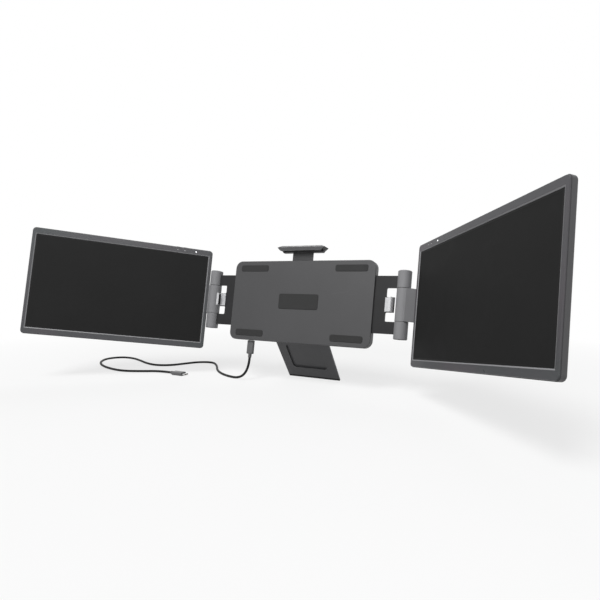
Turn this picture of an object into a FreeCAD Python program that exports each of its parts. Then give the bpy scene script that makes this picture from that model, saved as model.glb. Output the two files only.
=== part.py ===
import FreeCAD, Part
import Sketcher
import math
import os

from FreeCAD import Placement, Rotation, Vector

# Two-screen extender: a slim housing that hangs behind an upright panel, two arm plates
# that slide out of it, and a monitor on a friction hinge at the end of each arm. The panel
# that its hooks and clip grip is called the host here, and isn't part of it.
# Lengths are in millimetres. The pieces are drawn upright, with X to the right of someone
# who faces the screens, Y away from them and Z up. The whole then leans back with the host.

SIZES = [
    ("lean", 10.42, "angle the host leans back, degrees"),
    ("host_wide", 304.1, "width of the host that the side hooks grip"),
    ("host_thick", 5.0, "thickness of the host"),
    ("host_top", 80.2, "height of the host's top edge over the middle of the housing"),
    ("stand_drop", 131.6, "height of the middle of the housing over the stand's foot"),
    ("wall", 2.0, "wall of the housing"),
    ("housing_wide", 250.0, "width of the housing"),
    ("housing_tall", 130.0, "height of the housing"),
    ("housing_back", 15.0, "depth of the housing's back face"),
    ("housing_corner", 12.0, "corner radius of the housing"),
    ("housing_edge", 3.5, "rounding of the housing's back edge"),
    ("pad_proud", 0.6, "how far the rest pads stand out of the front cover"),
    ("pad_thick", 1.2, "thickness of the rest pads"),
    ("pad_near", 60.0, "inner end of a corner pad, from the middle"),
    ("pad_tall", 10.0, "height of a corner pad"),
    ("pad_corner", 3.0, "corner radius of a rest pad"),
    ("post_inset", 13.0, "screw posts, inside the housing's side edges"),
    ("post_drop", 9.0, "screw posts, inside the housing's upper and lower edges"),
    ("post_radius", 3.5, "radius of a screw post"),
    ("screw_radius", 1.25, "radius of a housing screw"),
    ("screw_long", 8.0, "length of a housing screw under its head"),
    ("head_radius", 2.4, "radius of a housing screw's head"),
    ("head_thick", 1.0, "thickness of a housing screw's head"),
    ("slack", 0.1, "clearance of sliding faces"),
    ("loose", 0.35, "clearance of a piece in its opening"),
    ("run_fit", 0.04, "radial clearance of a shaft that turns"),
    ("barrel_out", 15.95, "hinge axis outside the host's edge"),
    ("barrel_depth", 5.3, "hinge axis behind the host's back face"),
    ("barrel_radius", 10.0, "radius of the hinge barrel"),
    ("barrel_half", 49.0, "half the length of the hinge barrel"),
    ("middle_half", 23.6, "half the length of the middle knuckle"),
    ("washer_thick", 0.5, "thickness of a friction washer"),
    ("shaft_radius", 3.0, "radius of the hinge shaft"),
    ("arm_thick", 3.5, "thickness of an arm plate"),
    ("arm_tall", 84.0, "height of an arm plate"),
    ("arm_start", 50.0, "inner end of an arm plate, from the middle"),
    ("root_inset", 9.05, "inner end of the see-through slots, inside the host's edge"),
    ("ear_gap", 0.15, "ear clearance of the middle knuckle"),
    ("ear_grip", 6.0, "how near an ear comes to the hinge axis"),
    ("tongue_half", 11.0, "half the height of the middle tongue"),
    ("tongue_gap", 2.5, "gap from the middle tongue to the hinge barrel"),
    ("retract", 12.0, "travel of an arm into the housing"),
    ("extend", 48.0, "travel of an arm out of the housing"),
    ("stop_inset", 15.0, "travel stop posts, inside the housing's side edges"),
    ("stop_radius", 2.8, "radius of the travel stop post"),
    ("shoe_long", 22.0, "length of a slide shoe"),
    ("shoe_tall", 4.0, "height of a slide shoe"),
    ("shoe_skin", 0.8, "wall of a slide shoe"),
    ("rail_thick", 1.0, "thickness of a rail's flange"),
    ("rail_tall", 2.8, "height of a rail's web"),
    ("hook_tall", 20.4, "height of a side hook"),
    ("hook_wall", 1.8, "thickness of a side hook"),
    ("hook_reach", 3.4, "overlap of a side hook on the host's front"),
    ("hook_pad", 0.9, "thickness of the pad in a side hook"),
    ("lip_thick", 1.6, "thickness of the hooks' front lips"),
    ("lip_gap", 0.4, "gap from the host's front to a lip"),
    ("peg_radius", 1.5, "radius of a side hook's pegs"),
    ("peg_high", 6.0, "pegs, above and below the middle"),
    ("monitor_wide", 277.0, "width of a monitor"),
    ("monitor_tall", 171.1, "height of a monitor"),
    ("monitor_in", 11.5, "inner edge of a monitor, from the hinge axis"),
    ("monitor_set", 13.0, "front of a monitor, behind the hinge axis when flat"),
    ("monitor_thick", 9.3, "thickness of a monitor"),
    ("monitor_corner", 5.5, "corner radius of a monitor"),
    ("shell_edge", 2.6, "rounding of a monitor's back edge"),
    ("shell_wall", 1.6, "wall of a monitor's rear shell"),
    ("bezel_thick", 2.0, "thickness of the bezel"),
    ("bezel_inset", 0.7, "rim of the rear shell round the bezel"),
    ("border_side", 6.25, "width of the bezel beside its opening"),
    ("border_end", 10.55, "width of the bezel over and under its opening"),
    ("picture_bevel", 0.8, "bevel round the bezel's opening"),
    ("glass_thick", 0.7, "thickness of the display glass"),
    ("glass_lap", 2.0, "how far the glass reaches behind the bezel"),
    ("backlight_thick", 2.9, "thickness of the backlight unit"),
    ("board_thick", 1.6, "thickness of a circuit board"),
    ("left_yaw", 39.12, "turn of the left monitor towards the user, degrees"),
    ("right_yaw", 49.59, "turn of the right monitor towards the user, degrees"),
    ("light_radius", 0.7, "radius of a status light"),
    ("mark_inset", 5.55, "status light, under the monitor's upper edge"),
    ("key_long", 6.0, "length of a key"),
    ("key_deep", 3.0, "depth of a key"),
    ("key_proud", 0.8, "how far a key stands out"),
    ("clip_bar_half", 18.0, "half the width of the clip's bar"),
    ("clip_bar_thick", 2.6, "thickness of the clip's bar"),
    ("clip_bar_low", -5.0, "lower end of the clip's bar"),
    ("clip_tip", 43.5, "half the width of the clip at its tips"),
    ("clip_flat", 35.5, "half the width of the clip at its top"),
    ("clip_high", 7.6, "height of the clip over the host's top edge"),
    ("clip_lap", 0.9, "overlap of the clip on the host's front"),
    ("clip_pad_thick", 1.0, "thickness of the clip's pad"),
    ("stand_half", 47.9, "half the width of the stand's leg"),
    ("stand_head", 21.0, "tip of the folded stand, under the housing's upper edge"),
    ("stand_thick", 3.6, "thickness of the stand's leg"),
    ("stand_inset", 15.0, "stand pin, over the housing's lower edge"),
    ("stand_sunk", 2.1, "stand pin, under the housing's back face"),
    ("stand_barrel", 2.2, "radius of the stand's barrel"),
    ("stand_ear", 6.5, "length of the ears that hold the stand's pin"),
    ("pin_radius", 1.2, "radius of the stand's pin"),
    ("board_inset", 19.0, "hub board, inside the housing's left edge"),
    ("board_gap", 11.0, "hub board, beside the end of the stand's pin"),
    ("well_gap", 0.2, "inner wall of the stand's recess, behind the rails"),
    ("port_depth", 8.6, "cable port, depth behind the host"),
    ("port_half_wide", 4.47, "half the width of the port's shell"),
    ("port_half_deep", 1.63, "half the depth of the port's shell"),
    ("port_wall", 0.3, "wall of the port's shell"),
    ("port_long", 7.35, "length of the port"),
    ("plug_half_wide", 4.12, "half the width of a plug's shell"),
    ("plug_half_deep", 1.2, "half the thickness of a plug's shell"),
    ("plug_long", 6.6, "length of a plug's shell"),
    ("grip_half_wide", 6.0, "half the width of a plug's grip"),
    ("grip_half_deep", 3.25, "half the thickness of a plug's grip"),
    ("grip_long", 22.0, "length of a plug's grip"),
    ("relief_long", 6.0, "length of the strain relief behind a grip"),
    ("relief_radius", 2.7, "radius of the strain relief at the cable"),
    ("cable_radius", 2.0, "radius of the cable"),
    ("cable_drop", 18.5, "straight stretch of the cable below the housing's plug"),
    ("plug_gap", 0.6, "grip of the housing's plug, below the housing"),
]

# Status light and keys along each monitor, from its inner edge.
LIGHT_AT = {"left": 27.6, "right": 54.6}
POWER_AT = {"left": 46.1, "right": 37.3}
MENU_AT = {"left": 57.6, "right": 26.3}

# Route of the cable after its straight stretch below the housing, by hand.
CABLE_ROUTE = [
    (-103.0, -12.0, -129.6),
    (-141.0, -4.0, -129.6),
    (-180.0, 22.0, -129.6),
    (-212.0, 58.0, -129.6),
    (-243.0, 82.0, -129.6),
    (-270.0, 76.0, -129.6),
    (-282.0, 50.0, -129.6),
    (-292.0, 24.0, -129.6),
    (-318.0, 11.0, -129.6),
    (-352.0, 19.0, -129.6),
    (-386.0, 35.0, -129.6),
    (-424.0, 47.0, -129.6),
    (-456.0, 45.0, -129.6),
    (-469.0, 21.0, -129.6),
    (-448.0, -8.0, -129.6),
    (-410.0, -34.0, -129.6),
    (-368.0, -50.0, -129.6),
    (-326.0, -56.0, -129.6),
    (-291.0, -42.0, -129.3),
    (-263.0, -31.0, -128.35),
    (-236.0, -31.0, -128.35),
]

doc = FreeCAD.newDocument("screen_extender")


class Dim:
    """A size that carries both its number and the sheet expression that gives it."""

    def __init__(self, number, text=None):
        self.number = float(number)
        self.text = text or f"({self.number:.6f})"

    def __add__(self, other):
        other = dim(other)
        return Dim(self.number + other.number, f"({self.text} + {other.text})")

    def __sub__(self, other):
        other = dim(other)
        return Dim(self.number - other.number, f"({self.text} - {other.text})")

    def __mul__(self, other):
        other = dim(other)
        return Dim(self.number * other.number, f"({self.text} * {other.text})")

    def __truediv__(self, other):
        other = dim(other)
        return Dim(self.number / other.number, f"({self.text} / {other.text})")

    def __neg__(self):
        return Dim(-self.number, f"(0 - {self.text})")

    def __radd__(self, other):
        return dim(other) + self

    def __rsub__(self, other):
        return dim(other) - self

    def __rmul__(self, other):
        return dim(other) * self


def dim(value):
    return value if isinstance(value, Dim) else Dim(value)


def fill_sheet():
    """The sheet of driving sizes, and a Dim for each by name."""
    sheet = doc.addObject("Spreadsheet::Sheet", "Sizes")
    for row, (alias, number, note) in enumerate(SIZES, start=1):
        sheet.set(f"A{row}", note)
        sheet.set(f"B{row}", str(number))
        sheet.setAlias(f"B{row}", alias)
    doc.recompute()
    return {alias: Dim(sheet.get(alias), f"Sizes.{alias}") for alias, _, _ in SIZES}


D = fill_sheet()

# Places that several pieces share, worked out from the driving sizes.
COVER_FRONT = D["pad_proud"]
COVER_INNER = COVER_FRONT + D["wall"]
BACK_INNER = D["housing_back"] - D["wall"]
HALF_WIDE = D["housing_wide"] / 2
HALF_TALL = D["housing_tall"] / 2
STOP_OUT = HALF_WIDE - D["stop_inset"]
STAND_LOW = HALF_TALL - D["stand_inset"]
STAND_DEPTH = D["housing_back"] - D["stand_sunk"]
STAND_LONG = HALF_TALL + STAND_LOW - D["stand_head"]
ARM_ROOT = D["host_wide"] / 2 - D["root_inset"]
AXIS_OUT = D["host_wide"] / 2 + D["barrel_out"]
ARM_FRONT = D["barrel_depth"] - D["arm_thick"] / 2
ARM_BACK = D["barrel_depth"] + D["arm_thick"] / 2
ARM_HALF = D["arm_tall"] / 2
KNUCKLE_LOW = D["middle_half"] + 0.05 + D["washer_thick"]
EAR_LOW = KNUCKLE_LOW + D["ear_gap"]
EAR_END = AXIS_OUT - D["ear_grip"]
TONGUE_END = AXIS_OUT - D["barrel_radius"] - D["tongue_gap"]
SHOE_TOP = ARM_HALF + D["shoe_skin"] + 0.2
SHOE_FRONT = COVER_INNER + D["slack"]
SHOE_BACK = ARM_BACK + D["shoe_skin"] - 0.15
RAIL_FLANGE = SHOE_BACK + D["slack"]
RAIL_BACK = RAIL_FLANGE + D["rail_thick"]
LIP_BACK = -D["host_thick"] - D["lip_gap"]
LIP_FRONT = LIP_BACK - D["lip_thick"]
SCREEN_IN = D["monitor_in"]
SCREEN_OUT = D["monitor_in"] + D["monitor_wide"]
SCREEN_MID = D["monitor_in"] + D["monitor_wide"] / 2
SCREEN_HALF = D["monitor_tall"] / 2
PICTURE_WIDE = D["monitor_wide"] - D["border_side"] * 2
PICTURE_TALL = D["monitor_tall"] - D["border_end"] * 2
MARK_HIGH = SCREEN_HALF - D["mark_inset"]
FRONT = D["monitor_set"]
BEZEL_BACK = FRONT + D["bezel_thick"]
GLASS_FRONT = BEZEL_BACK - 1.0
GLASS_BACK = GLASS_FRONT + D["glass_thick"]
LIGHT_BACK = GLASS_BACK + D["backlight_thick"]
MONITOR_BACK = FRONT + D["monitor_thick"]
SHELL_INNER = MONITOR_BACK - D["shell_wall"]
BOARD_FRONT = LIGHT_BACK + 0.4
BOARD_BACK = BOARD_FRONT + D["board_thick"]
KEY_MID = D["monitor_set"] + 5.6
WELL_FLOOR = STAND_DEPTH - D["stand_barrel"] - D["slack"]
WELL_TOP = STAND_LONG + D["stand_thick"] / 2 - STAND_LOW + 1.7
WELL_LOW = -STAND_LOW - 8.0
WELL_HALF = D["stand_half"] + 0.6
WELL_SKIN = 1.6
WELL_INNER = RAIL_BACK + D["well_gap"]
PIN_END = WELL_HALF + D["stand_ear"]
BOARD_OUT = HALF_WIDE - D["board_inset"]
BOARD_IN = PIN_END + D["board_gap"]
PORT_SIDE = -(BOARD_OUT + BOARD_IN) / 2
CLIP_FRONT = COVER_INNER + 2 * D["slack"]
CLIP_BACK = CLIP_FRONT + D["clip_bar_thick"]
CLIP_TOP = D["host_top"] + D["clip_high"]
CLIP_UNDER = D["host_top"] + D["clip_pad_thick"]

LEAN = Placement(Vector(0, 0, 0), Rotation(Vector(1, 0, 0), -D["lean"].number))
SIDES = {"left": -1, "right": 1}

nodes = []


def bind(thing, path, size):
    """Gives a property its value from the sheet."""
    thing.setExpression(path, dim(size).text)


def place(thing, x, y, z):
    bind(thing, "Placement.Base.x", x)
    bind(thing, "Placement.Base.y", y)
    bind(thing, "Placement.Base.z", z)


def span(side, low, high):
    """A stretch of X on one side of the middle, lowest end first."""
    return (dim(low), dim(high)) if side > 0 else (-dim(high), -dim(low))


def block(name, x, y, z):
    """A box from three stretches."""
    box = doc.addObject("Part::Box", name)
    bind(box, "Length", dim(x[1]) - x[0])
    bind(box, "Width", dim(y[1]) - y[0])
    bind(box, "Height", dim(z[1]) - z[0])
    place(box, x[0], y[0], z[0])
    return box


TURNS = {
    "X": Rotation(Vector(0, 1, 0), 90),
    "Y": Rotation(Vector(1, 0, 0), -90),
    "Z": Rotation(),
}


def rod(name, axis, radius, start, length):
    """A cylinder from its start point along an axis."""
    cylinder = doc.addObject("Part::Cylinder", name)
    cylinder.Placement = Placement(Vector(0, 0, 0), TURNS[axis])
    bind(cylinder, "Radius", radius)
    bind(cylinder, "Height", length)
    place(cylinder, *start)
    return cylinder


def cone(name, axis, radius_start, radius_end, start, length):
    tapered = doc.addObject("Part::Cone", name)
    tapered.Placement = Placement(Vector(0, 0, 0), TURNS[axis])
    bind(tapered, "Radius1", radius_start)
    bind(tapered, "Radius2", radius_end)
    bind(tapered, "Height", length)
    place(tapered, *start)
    return tapered


def fuse(name, *pieces):
    joined = doc.addObject("Part::MultiFuse", name)
    joined.Shapes = list(pieces)
    joined.Refine = True
    return joined


def cut(name, base, *tools):
    result = doc.addObject("Part::Cut", name)
    result.Base = base
    result.Tool = tools[0] if len(tools) == 1 else fuse(f"{name}_tools", *tools)
    result.Refine = True
    return result


def group(name, *pieces):
    """Separate solids that share one node."""
    together = doc.addObject("Part::Compound", name)
    together.Links = list(pieces)
    return together


def keep(name, thing, where=None):
    """Names a finished piece and notes where it goes."""
    thing.Label = name
    nodes.append((name, thing, LEAN.multiply(where) if where else LEAN))
    return thing


# Sketch work in a body: each plane with the sign of its normal along its own axis.
PLANES = {"XY": 1, "XZ": -1, "YZ": 1}


def new_body(name):
    return doc.addObject("PartDesign::Body", f"{name}_body")


def new_sketch(body, plane, level):
    sketch = body.newObject("Sketcher::SketchObject", f"{body.Name}_sketch")
    origin = [f for f in body.Origin.OriginFeatures if f.Role == f"{plane}_Plane"][0]
    sketch.AttachmentSupport = [(origin, "")]
    sketch.MapMode = "FlatFace"
    bind(sketch, "AttachmentOffset.Base.z", level * PLANES[plane])
    return sketch


def tie(sketch, kind, geometry, point, size):
    """Holds a point of a sketch at a distance from its origin."""
    size = dim(size)
    index = sketch.addConstraint(
        Sketcher.Constraint(kind, -1, 1, geometry, point, size.number)
    )
    sketch.setExpression(f"Constraints[{index}]", size.text)


def polygon(*points):
    """An outline with straight sides."""

    def draw(sketch):
        spots = [Vector(dim(x).number, dim(y).number, 0) for x, y in points]
        first = sketch.GeometryCount
        count = len(spots)
        for i in range(count):
            sketch.addGeometry(Part.LineSegment(spots[i], spots[(i + 1) % count]), False)
        for i in range(count):
            after = first + (i + 1) % count
            sketch.addConstraint(
                Sketcher.Constraint("Coincident", first + i, 2, after, 1)
            )
        for i, (x, y) in enumerate(points):
            tie(sketch, "DistanceX", first + i, 1, x)
            tie(sketch, "DistanceY", first + i, 1, y)

    return draw


def rectangle(x, y):
    return polygon((x[0], y[0]), (x[1], y[0]), (x[1], y[1]), (x[0], y[1]))


def square(x, y, half):
    """A square round its middle."""
    return rectangle((dim(x) - half, dim(x) + half), (dim(y) - half, dim(y) + half))


def rounded(x, y, radius):
    """A rectangle with four equal round corners."""

    def draw(sketch):
        (a, b), (c, d) = [(dim(s[0]), dim(s[1])) for s in (x, y)]
        r = dim(radius)
        left, right, low, high = a.number, b.number, c.number, d.number
        inset = r.number
        first = sketch.GeometryCount
        sides = [
            ((left + inset, low), (right - inset, low)),
            ((right, low + inset), (right, high - inset)),
            ((right - inset, high), (left + inset, high)),
            ((left, high - inset), (left, low + inset)),
        ]
        for start, end in sides:
            sketch.addGeometry(Part.LineSegment(Vector(*start, 0), Vector(*end, 0)), False)
        middles = [
            (right - inset, low + inset),
            (right - inset, high - inset),
            (left + inset, high - inset),
            (left + inset, low + inset),
        ]
        for i, middle in enumerate(middles):
            circle = Part.Circle(Vector(*middle, 0), Vector(0, 0, 1), inset)
            start = -math.pi / 2 + i * math.pi / 2
            sketch.addGeometry(Part.ArcOfCircle(circle, start, start + math.pi / 2), False)
        for i in range(4):
            line, arc = first + i, first + 4 + i
            sketch.addConstraint(Sketcher.Constraint("Tangent", line, 2, arc, 1))
            after = first + (i + 1) % 4
            sketch.addConstraint(Sketcher.Constraint("Tangent", arc, 2, after, 1))
            level = "Horizontal" if i % 2 == 0 else "Vertical"
            sketch.addConstraint(Sketcher.Constraint(level, line))
        for i in range(3):
            sketch.addConstraint(Sketcher.Constraint("Equal", first + 4, first + 5 + i))
        index = sketch.addConstraint(Sketcher.Constraint("Radius", first + 4, inset))
        sketch.setExpression(f"Constraints[{index}]", r.text)
        tie(sketch, "DistanceY", first, 1, c)
        tie(sketch, "DistanceX", first + 1, 1, b)
        tie(sketch, "DistanceY", first + 2, 1, d)
        tie(sketch, "DistanceX", first + 3, 1, a)

    return draw


def circle(x, y, radius):
    def draw(sketch):
        middle = Vector(dim(x).number, dim(y).number, 0)
        ring = Part.Circle(middle, Vector(0, 0, 1), dim(radius).number)
        index = sketch.addGeometry(ring, False)
        spot = sketch.addConstraint(
            Sketcher.Constraint("Radius", index, dim(radius).number)
        )
        sketch.setExpression(f"Constraints[{spot}]", dim(radius).text)
        tie(sketch, "DistanceX", index, 3, x)
        tie(sketch, "DistanceY", index, 3, y)

    return draw


def grow(body, plane, low, high, *outlines):
    """Adds material between two levels of a plane's axis."""
    level = low if PLANES[plane] > 0 else high
    sketch = new_sketch(body, plane, dim(level))
    for draw in outlines:
        draw(sketch)
    pad = body.newObject("PartDesign::Pad", f"{body.Name}_pad")
    pad.Profile = sketch
    bind(pad, "Length", dim(high) - low)
    doc.recompute()
    return pad


def carve(body, plane, low, high, *outlines):
    """Takes material away between two levels of a plane's axis."""
    level = high if PLANES[plane] > 0 else low
    sketch = new_sketch(body, plane, dim(level))
    for draw in outlines:
        draw(sketch)
    before = body.Shape.Volume
    pocket = body.newObject("PartDesign::Pocket", f"{body.Name}_pocket")
    pocket.Profile = sketch
    bind(pocket, "Length", dim(high) - low)
    doc.recompute()
    if body.Shape.Volume >= before - 1e-6:
        raise ValueError(f"{pocket.Name} cut nothing")
    return pocket


def spin(body, *points):
    """Turns an outline of (radius, height) points about the Z axis."""
    sketch = new_sketch(body, "XZ", dim(0))
    polygon(*points)(sketch)
    turned = body.newObject("PartDesign::Revolution", f"{body.Name}_turned")
    turned.Profile = sketch
    turned.ReferenceAxis = (sketch, ["V_Axis"])
    turned.Angle = 360.0
    doc.recompute()
    return turned


def rim(level, axis="y"):
    """Picks the edges that lie at one level of an axis."""

    def test(edge):
        box = edge.BoundBox
        low, high = (getattr(box, f"{axis.upper()}{end}") for end in ("Min", "Max"))
        return abs(low - dim(level).number) < 1e-4 and abs(high - dim(level).number) < 1e-4

    return test


def dress(body, kind, size, test):
    """Rounds or bevels the edges of a body that pass a test."""
    base = body.Tip
    names = [f"Edge{i}" for i, e in enumerate(base.Shape.Edges, start=1) if test(e)]
    if not names:
        raise ValueError(f"{body.Name} has no edge to dress")
    feature = body.newObject(f"PartDesign::{kind}", f"{body.Name}_{kind.lower()}")
    feature.Base = (base, names)
    bind(feature, "Radius" if kind == "Fillet" else "Size", size)
    doc.recompute()
    return feature


# Recess for the folded stand, its pin's ears and the finger notch above it.
EAR_HALF = 4.0
FINGER_HALF = 14.0
FINGER_LAP = 2.0
FINGER_LONG = 6.0
FINGER_DEEP = 1.3
BOSS_HALF = 2.4
FRONT_BEVEL = 0.6
MIDDLE_PAD = (35.0, 12.0)
OVERCUT = 1.0


def housing_posts():
    """Places of the four screw posts."""
    across, up = HALF_WIDE - D["post_inset"], HALF_TALL - D["post_drop"]
    return [(side * across, end * up) for side in (-1, 1) for end in (-1, 1)]


def make_front_cover():
    body = new_body("housing_front_cover")
    outline = rounded(
        (-HALF_WIDE, HALF_WIDE), (-HALF_TALL, HALF_TALL), D["housing_corner"]
    )
    grow(body, "XZ", COVER_FRONT, COVER_INNER, outline)
    dress(body, "Chamfer", FRONT_BEVEL, rim(COVER_FRONT))
    pads = [rounded(x, z, D["pad_corner"]) for x, z in pad_places()]
    carve(body, "XZ", COVER_FRONT, D["pad_thick"], *pads)
    posts = [circle(x, z, D["post_radius"]) for x, z in housing_posts()]
    grow(body, "XZ", COVER_INNER, BACK_INNER, *posts)
    screws = [circle(x, z, D["screw_radius"]) for x, z in housing_posts()]
    tip = D["housing_back"] - D["head_thick"] - D["screw_long"]
    carve(body, "XZ", tip, BACK_INNER, *screws)
    stops = [circle(side * STOP_OUT, 0, D["stop_radius"]) for side in (-1, 1)]
    grow(body, "XZ", COVER_INNER, RAIL_FLANGE, *stops)
    keep("housing_front_cover", body)


def pad_places():
    """Stretches of X and Z that the rest pads cover."""
    half_wide, half_tall = (dim(half) for half in MIDDLE_PAD)
    places = [((-half_wide, half_wide), (-half_tall, half_tall))]
    for side in (-1, 1):
        x = span(side, D["pad_near"], HALF_WIDE - D["housing_corner"])
        for up in (-1, 1):
            middle = up * (HALF_TALL - D["housing_corner"])
            places.append((x, (middle - D["pad_tall"] / 2, middle + D["pad_tall"] / 2)))
    return places


def make_back_cover():
    body = new_body("housing_back_cover")
    x = (-HALF_WIDE, HALF_WIDE)
    z = (-HALF_TALL, HALF_TALL)
    grow(body, "XZ", COVER_INNER, D["housing_back"], rounded(x, z, D["housing_corner"]))
    dress(body, "Fillet", D["housing_edge"], rim(D["housing_back"]))
    wall = D["wall"]
    cavity = rounded(
        (x[0] + wall, x[1] - wall),
        (z[0] + wall, z[1] - wall),
        D["housing_corner"] - wall,
    )
    carve(body, "XZ", COVER_INNER, BACK_INNER, cavity)
    well = (-WELL_HALF - WELL_SKIN, WELL_HALF + WELL_SKIN)
    ears = PIN_END
    ear_z = (-STAND_LOW - EAR_HALF, -STAND_LOW + EAR_HALF)
    well_outer = polygon(
        (well[0], WELL_LOW - WELL_SKIN),
        (well[1], WELL_LOW - WELL_SKIN),
        (well[1], ear_z[0]),
        (ears, ear_z[0]),
        (ears, ear_z[1]),
        (well[1], ear_z[1]),
        (well[1], WELL_TOP + WELL_SKIN),
        (well[0], WELL_TOP + WELL_SKIN),
        (well[0], ear_z[1]),
        (-ears, ear_z[1]),
        (-ears, ear_z[0]),
        (well[0], ear_z[0]),
    )
    grow(body, "XZ", WELL_INNER, BACK_INNER + 0.5, well_outer)
    bosses = [square(bx, bz, BOSS_HALF) for bx, bz in board_bosses()]
    grow(body, "XZ", hub_board_back(), BACK_INNER + 0.5, *bosses)
    recess = rounded((-WELL_HALF, WELL_HALF), (WELL_LOW, WELL_TOP), 3.0)
    carve(body, "XZ", WELL_FLOOR, D["housing_back"] + 0.1, recess)
    notch = rounded(
        (-FINGER_HALF, FINGER_HALF), (WELL_TOP - FINGER_LAP, WELL_TOP + FINGER_LONG), FINGER_LAP - 0.1
    )
    carve(body, "XZ", D["housing_back"] - FINGER_DEEP, D["housing_back"] + 0.1, notch)
    cheeks = []
    for side in (-1, 1):
        across = span(side, HALF_WIDE - wall - 1.0, HALF_WIDE + 1.0)
        cheeks.append(rectangle(across, (-ARM_HALF - D["loose"], ARM_HALF + D["loose"])))
    carve(body, "XZ", COVER_INNER, ARM_BACK + D["loose"], *cheeks)
    gate_half = D["clip_bar_half"] + D["loose"]
    gate = rectangle((-gate_half, gate_half), (HALF_TALL - wall - 1.0, HALF_TALL + 1.0))
    carve(body, "XZ", COVER_INNER, CLIP_BACK + D["loose"], gate)
    holes = [circle(px, pz, D["screw_radius"] + 0.1) for px, pz in housing_posts()]
    carve(body, "XZ", BACK_INNER - 0.1, D["housing_back"] + 0.1, *holes)
    sinks = [circle(px, pz, D["head_radius"] + 0.1) for px, pz in housing_posts()]
    carve(
        body, "XZ", D["housing_back"] - D["head_thick"], D["housing_back"] + 0.1, *sinks
    )
    port_x = (
        PORT_SIDE - D["port_half_wide"] - 0.1,
        PORT_SIDE + D["port_half_wide"] + 0.1,
    )
    port_y = (
        D["port_depth"] - D["port_half_deep"] - 0.1,
        D["port_depth"] + D["port_half_deep"] + 0.1,
    )
    mouth = rounded(port_x, port_y, D["port_half_deep"])
    carve(body, "XY", -HALF_TALL - 1.0, -HALF_TALL + wall + 0.5, mouth)
    bore = circle(STAND_DEPTH, -STAND_LOW, D["pin_radius"])
    carve(body, "YZ", -ears - OVERCUT, ears + OVERCUT, bore)
    keep("housing_back_cover", body)


def hub_board_back():
    return D["port_depth"] + D["port_half_deep"] + D["board_thick"]


HUB_BOARD_X = (-BOARD_OUT, -BOARD_IN)
HUB_BOARD_Z = (-HALF_TALL + D["wall"] + 1.0, dim(10.0))


def board_bosses():
    """Bosses that carry the hub board."""
    x = (HUB_BOARD_X[0] + 4.0, HUB_BOARD_X[1] - 4.0)
    z = (HUB_BOARD_Z[0] + 12.0, HUB_BOARD_Z[1] - 5.0)
    return [(x[0], z[0]), (x[1], z[1])]


def make_housing_inside():
    pads = []
    for number, (x, z) in enumerate(pad_places(), start=1):
        body = new_body(f"rest_pad_{number}")
        grow(body, "XZ", 0.0, D["pad_thick"], rounded(x, z, D["pad_corner"]))
        pads.append(body)
    keep("lid_rest_pads", group("lid_rest_pads", *pads))

    rails = []
    for side in (-1, 1):
        x = span(side, D["arm_start"] - D["retract"], HALF_WIDE - D["wall"] - 1.0)
        for up in (-1, 1):
            top = span(up, SHOE_TOP + D["slack"], SHOE_TOP + D["slack"] + D["rail_tall"])
            lap = span(up, ARM_HALF - D["shoe_tall"] + 1.0, SHOE_TOP + D["slack"])
            web = block("rail_web", x, (COVER_INNER, RAIL_BACK), top)
            flange = block("rail_flange", x, (RAIL_FLANGE, RAIL_BACK), lap)
            rails.append(fuse("arm_rail", web, flange))
    half = D["clip_bar_half"]
    for side in (-1, 1):
        outer = half + D["slack"] * 2
        web = block(
            "guide_web",
            span(side, outer, outer + 2.0),
            (COVER_INNER, CLIP_BACK + D["slack"] + 1.5),
            (dim(8.0), HALF_TALL - D["wall"] - 3.0),
        )
        flange = block(
            "guide_flange",
            span(side, half - 3.0, outer + 2.0),
            (CLIP_BACK + D["slack"], CLIP_BACK + D["slack"] + 1.5),
            (dim(8.0), HALF_TALL - D["wall"] - 3.0),
        )
        rails.append(fuse("clip_guide", web, flange))
    keep("slide_rails", group("slide_rails", *rails))

    front = hub_board_back() - D["board_thick"]
    board = block("hub_board_plate", HUB_BOARD_X, (front, hub_board_back()), HUB_BOARD_Z)
    chips = []
    for x, z, wide, tall in ((-6, -30, 9, 9), (8, -34, 7, 7), (-9, -12, 12, 6)):
        middle = PORT_SIDE + x
        chip_x = (middle - wide / 2, middle + wide / 2)
        chips.append(block("chip", chip_x, (front - 1.0, front + 0.2), (z, z + tall)))
    keep("hub_board", fuse("hub_board", board, *chips))

    body = new_body("hub_usb_port")
    x = (PORT_SIDE - D["port_half_wide"], PORT_SIDE + D["port_half_wide"])
    y = (D["port_depth"] - D["port_half_deep"], D["port_depth"] + D["port_half_deep"])
    low = -HALF_TALL
    high = -HALF_TALL + D["port_long"]
    grow(body, "XY", low, high, rounded(x, y, D["port_half_deep"] - 0.02))
    skin = D["port_wall"]
    inner = rounded(
        (x[0] + skin, x[1] - skin), (y[0] + skin, y[1] - skin), D["port_half_deep"] - skin - 0.02
    )
    carve(body, "XY", low, high - 0.5, inner)
    tongue = rectangle(
        (PORT_SIDE - 3.1, PORT_SIDE + 3.1),
        (D["port_depth"] - 0.35, D["port_depth"] + 0.35),
    )
    grow(body, "XY", low + 1.2, high - 0.4, tongue)
    keep("hub_usb_port", body)

    screws = []
    for x, z in housing_posts():
        head_at = D["housing_back"] - D["head_thick"]
        tip = head_at - D["screw_long"]
        shank = rod("shank", "Y", D["screw_radius"], (x, tip, z), D["screw_long"])
        head = rod("head", "Y", D["head_radius"], (x, head_at, z), D["head_thick"])
        screws.append(fuse("housing_screw", shank, head))
    keep("housing_screws", group("housing_screws", *screws))

    reach = WELL_HALF + 6.0
    pin_start = (-reach, STAND_DEPTH, -STAND_LOW)
    keep("stand_pin", rod("stand_pin", "X", D["pin_radius"], pin_start, reach * 2))


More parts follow.
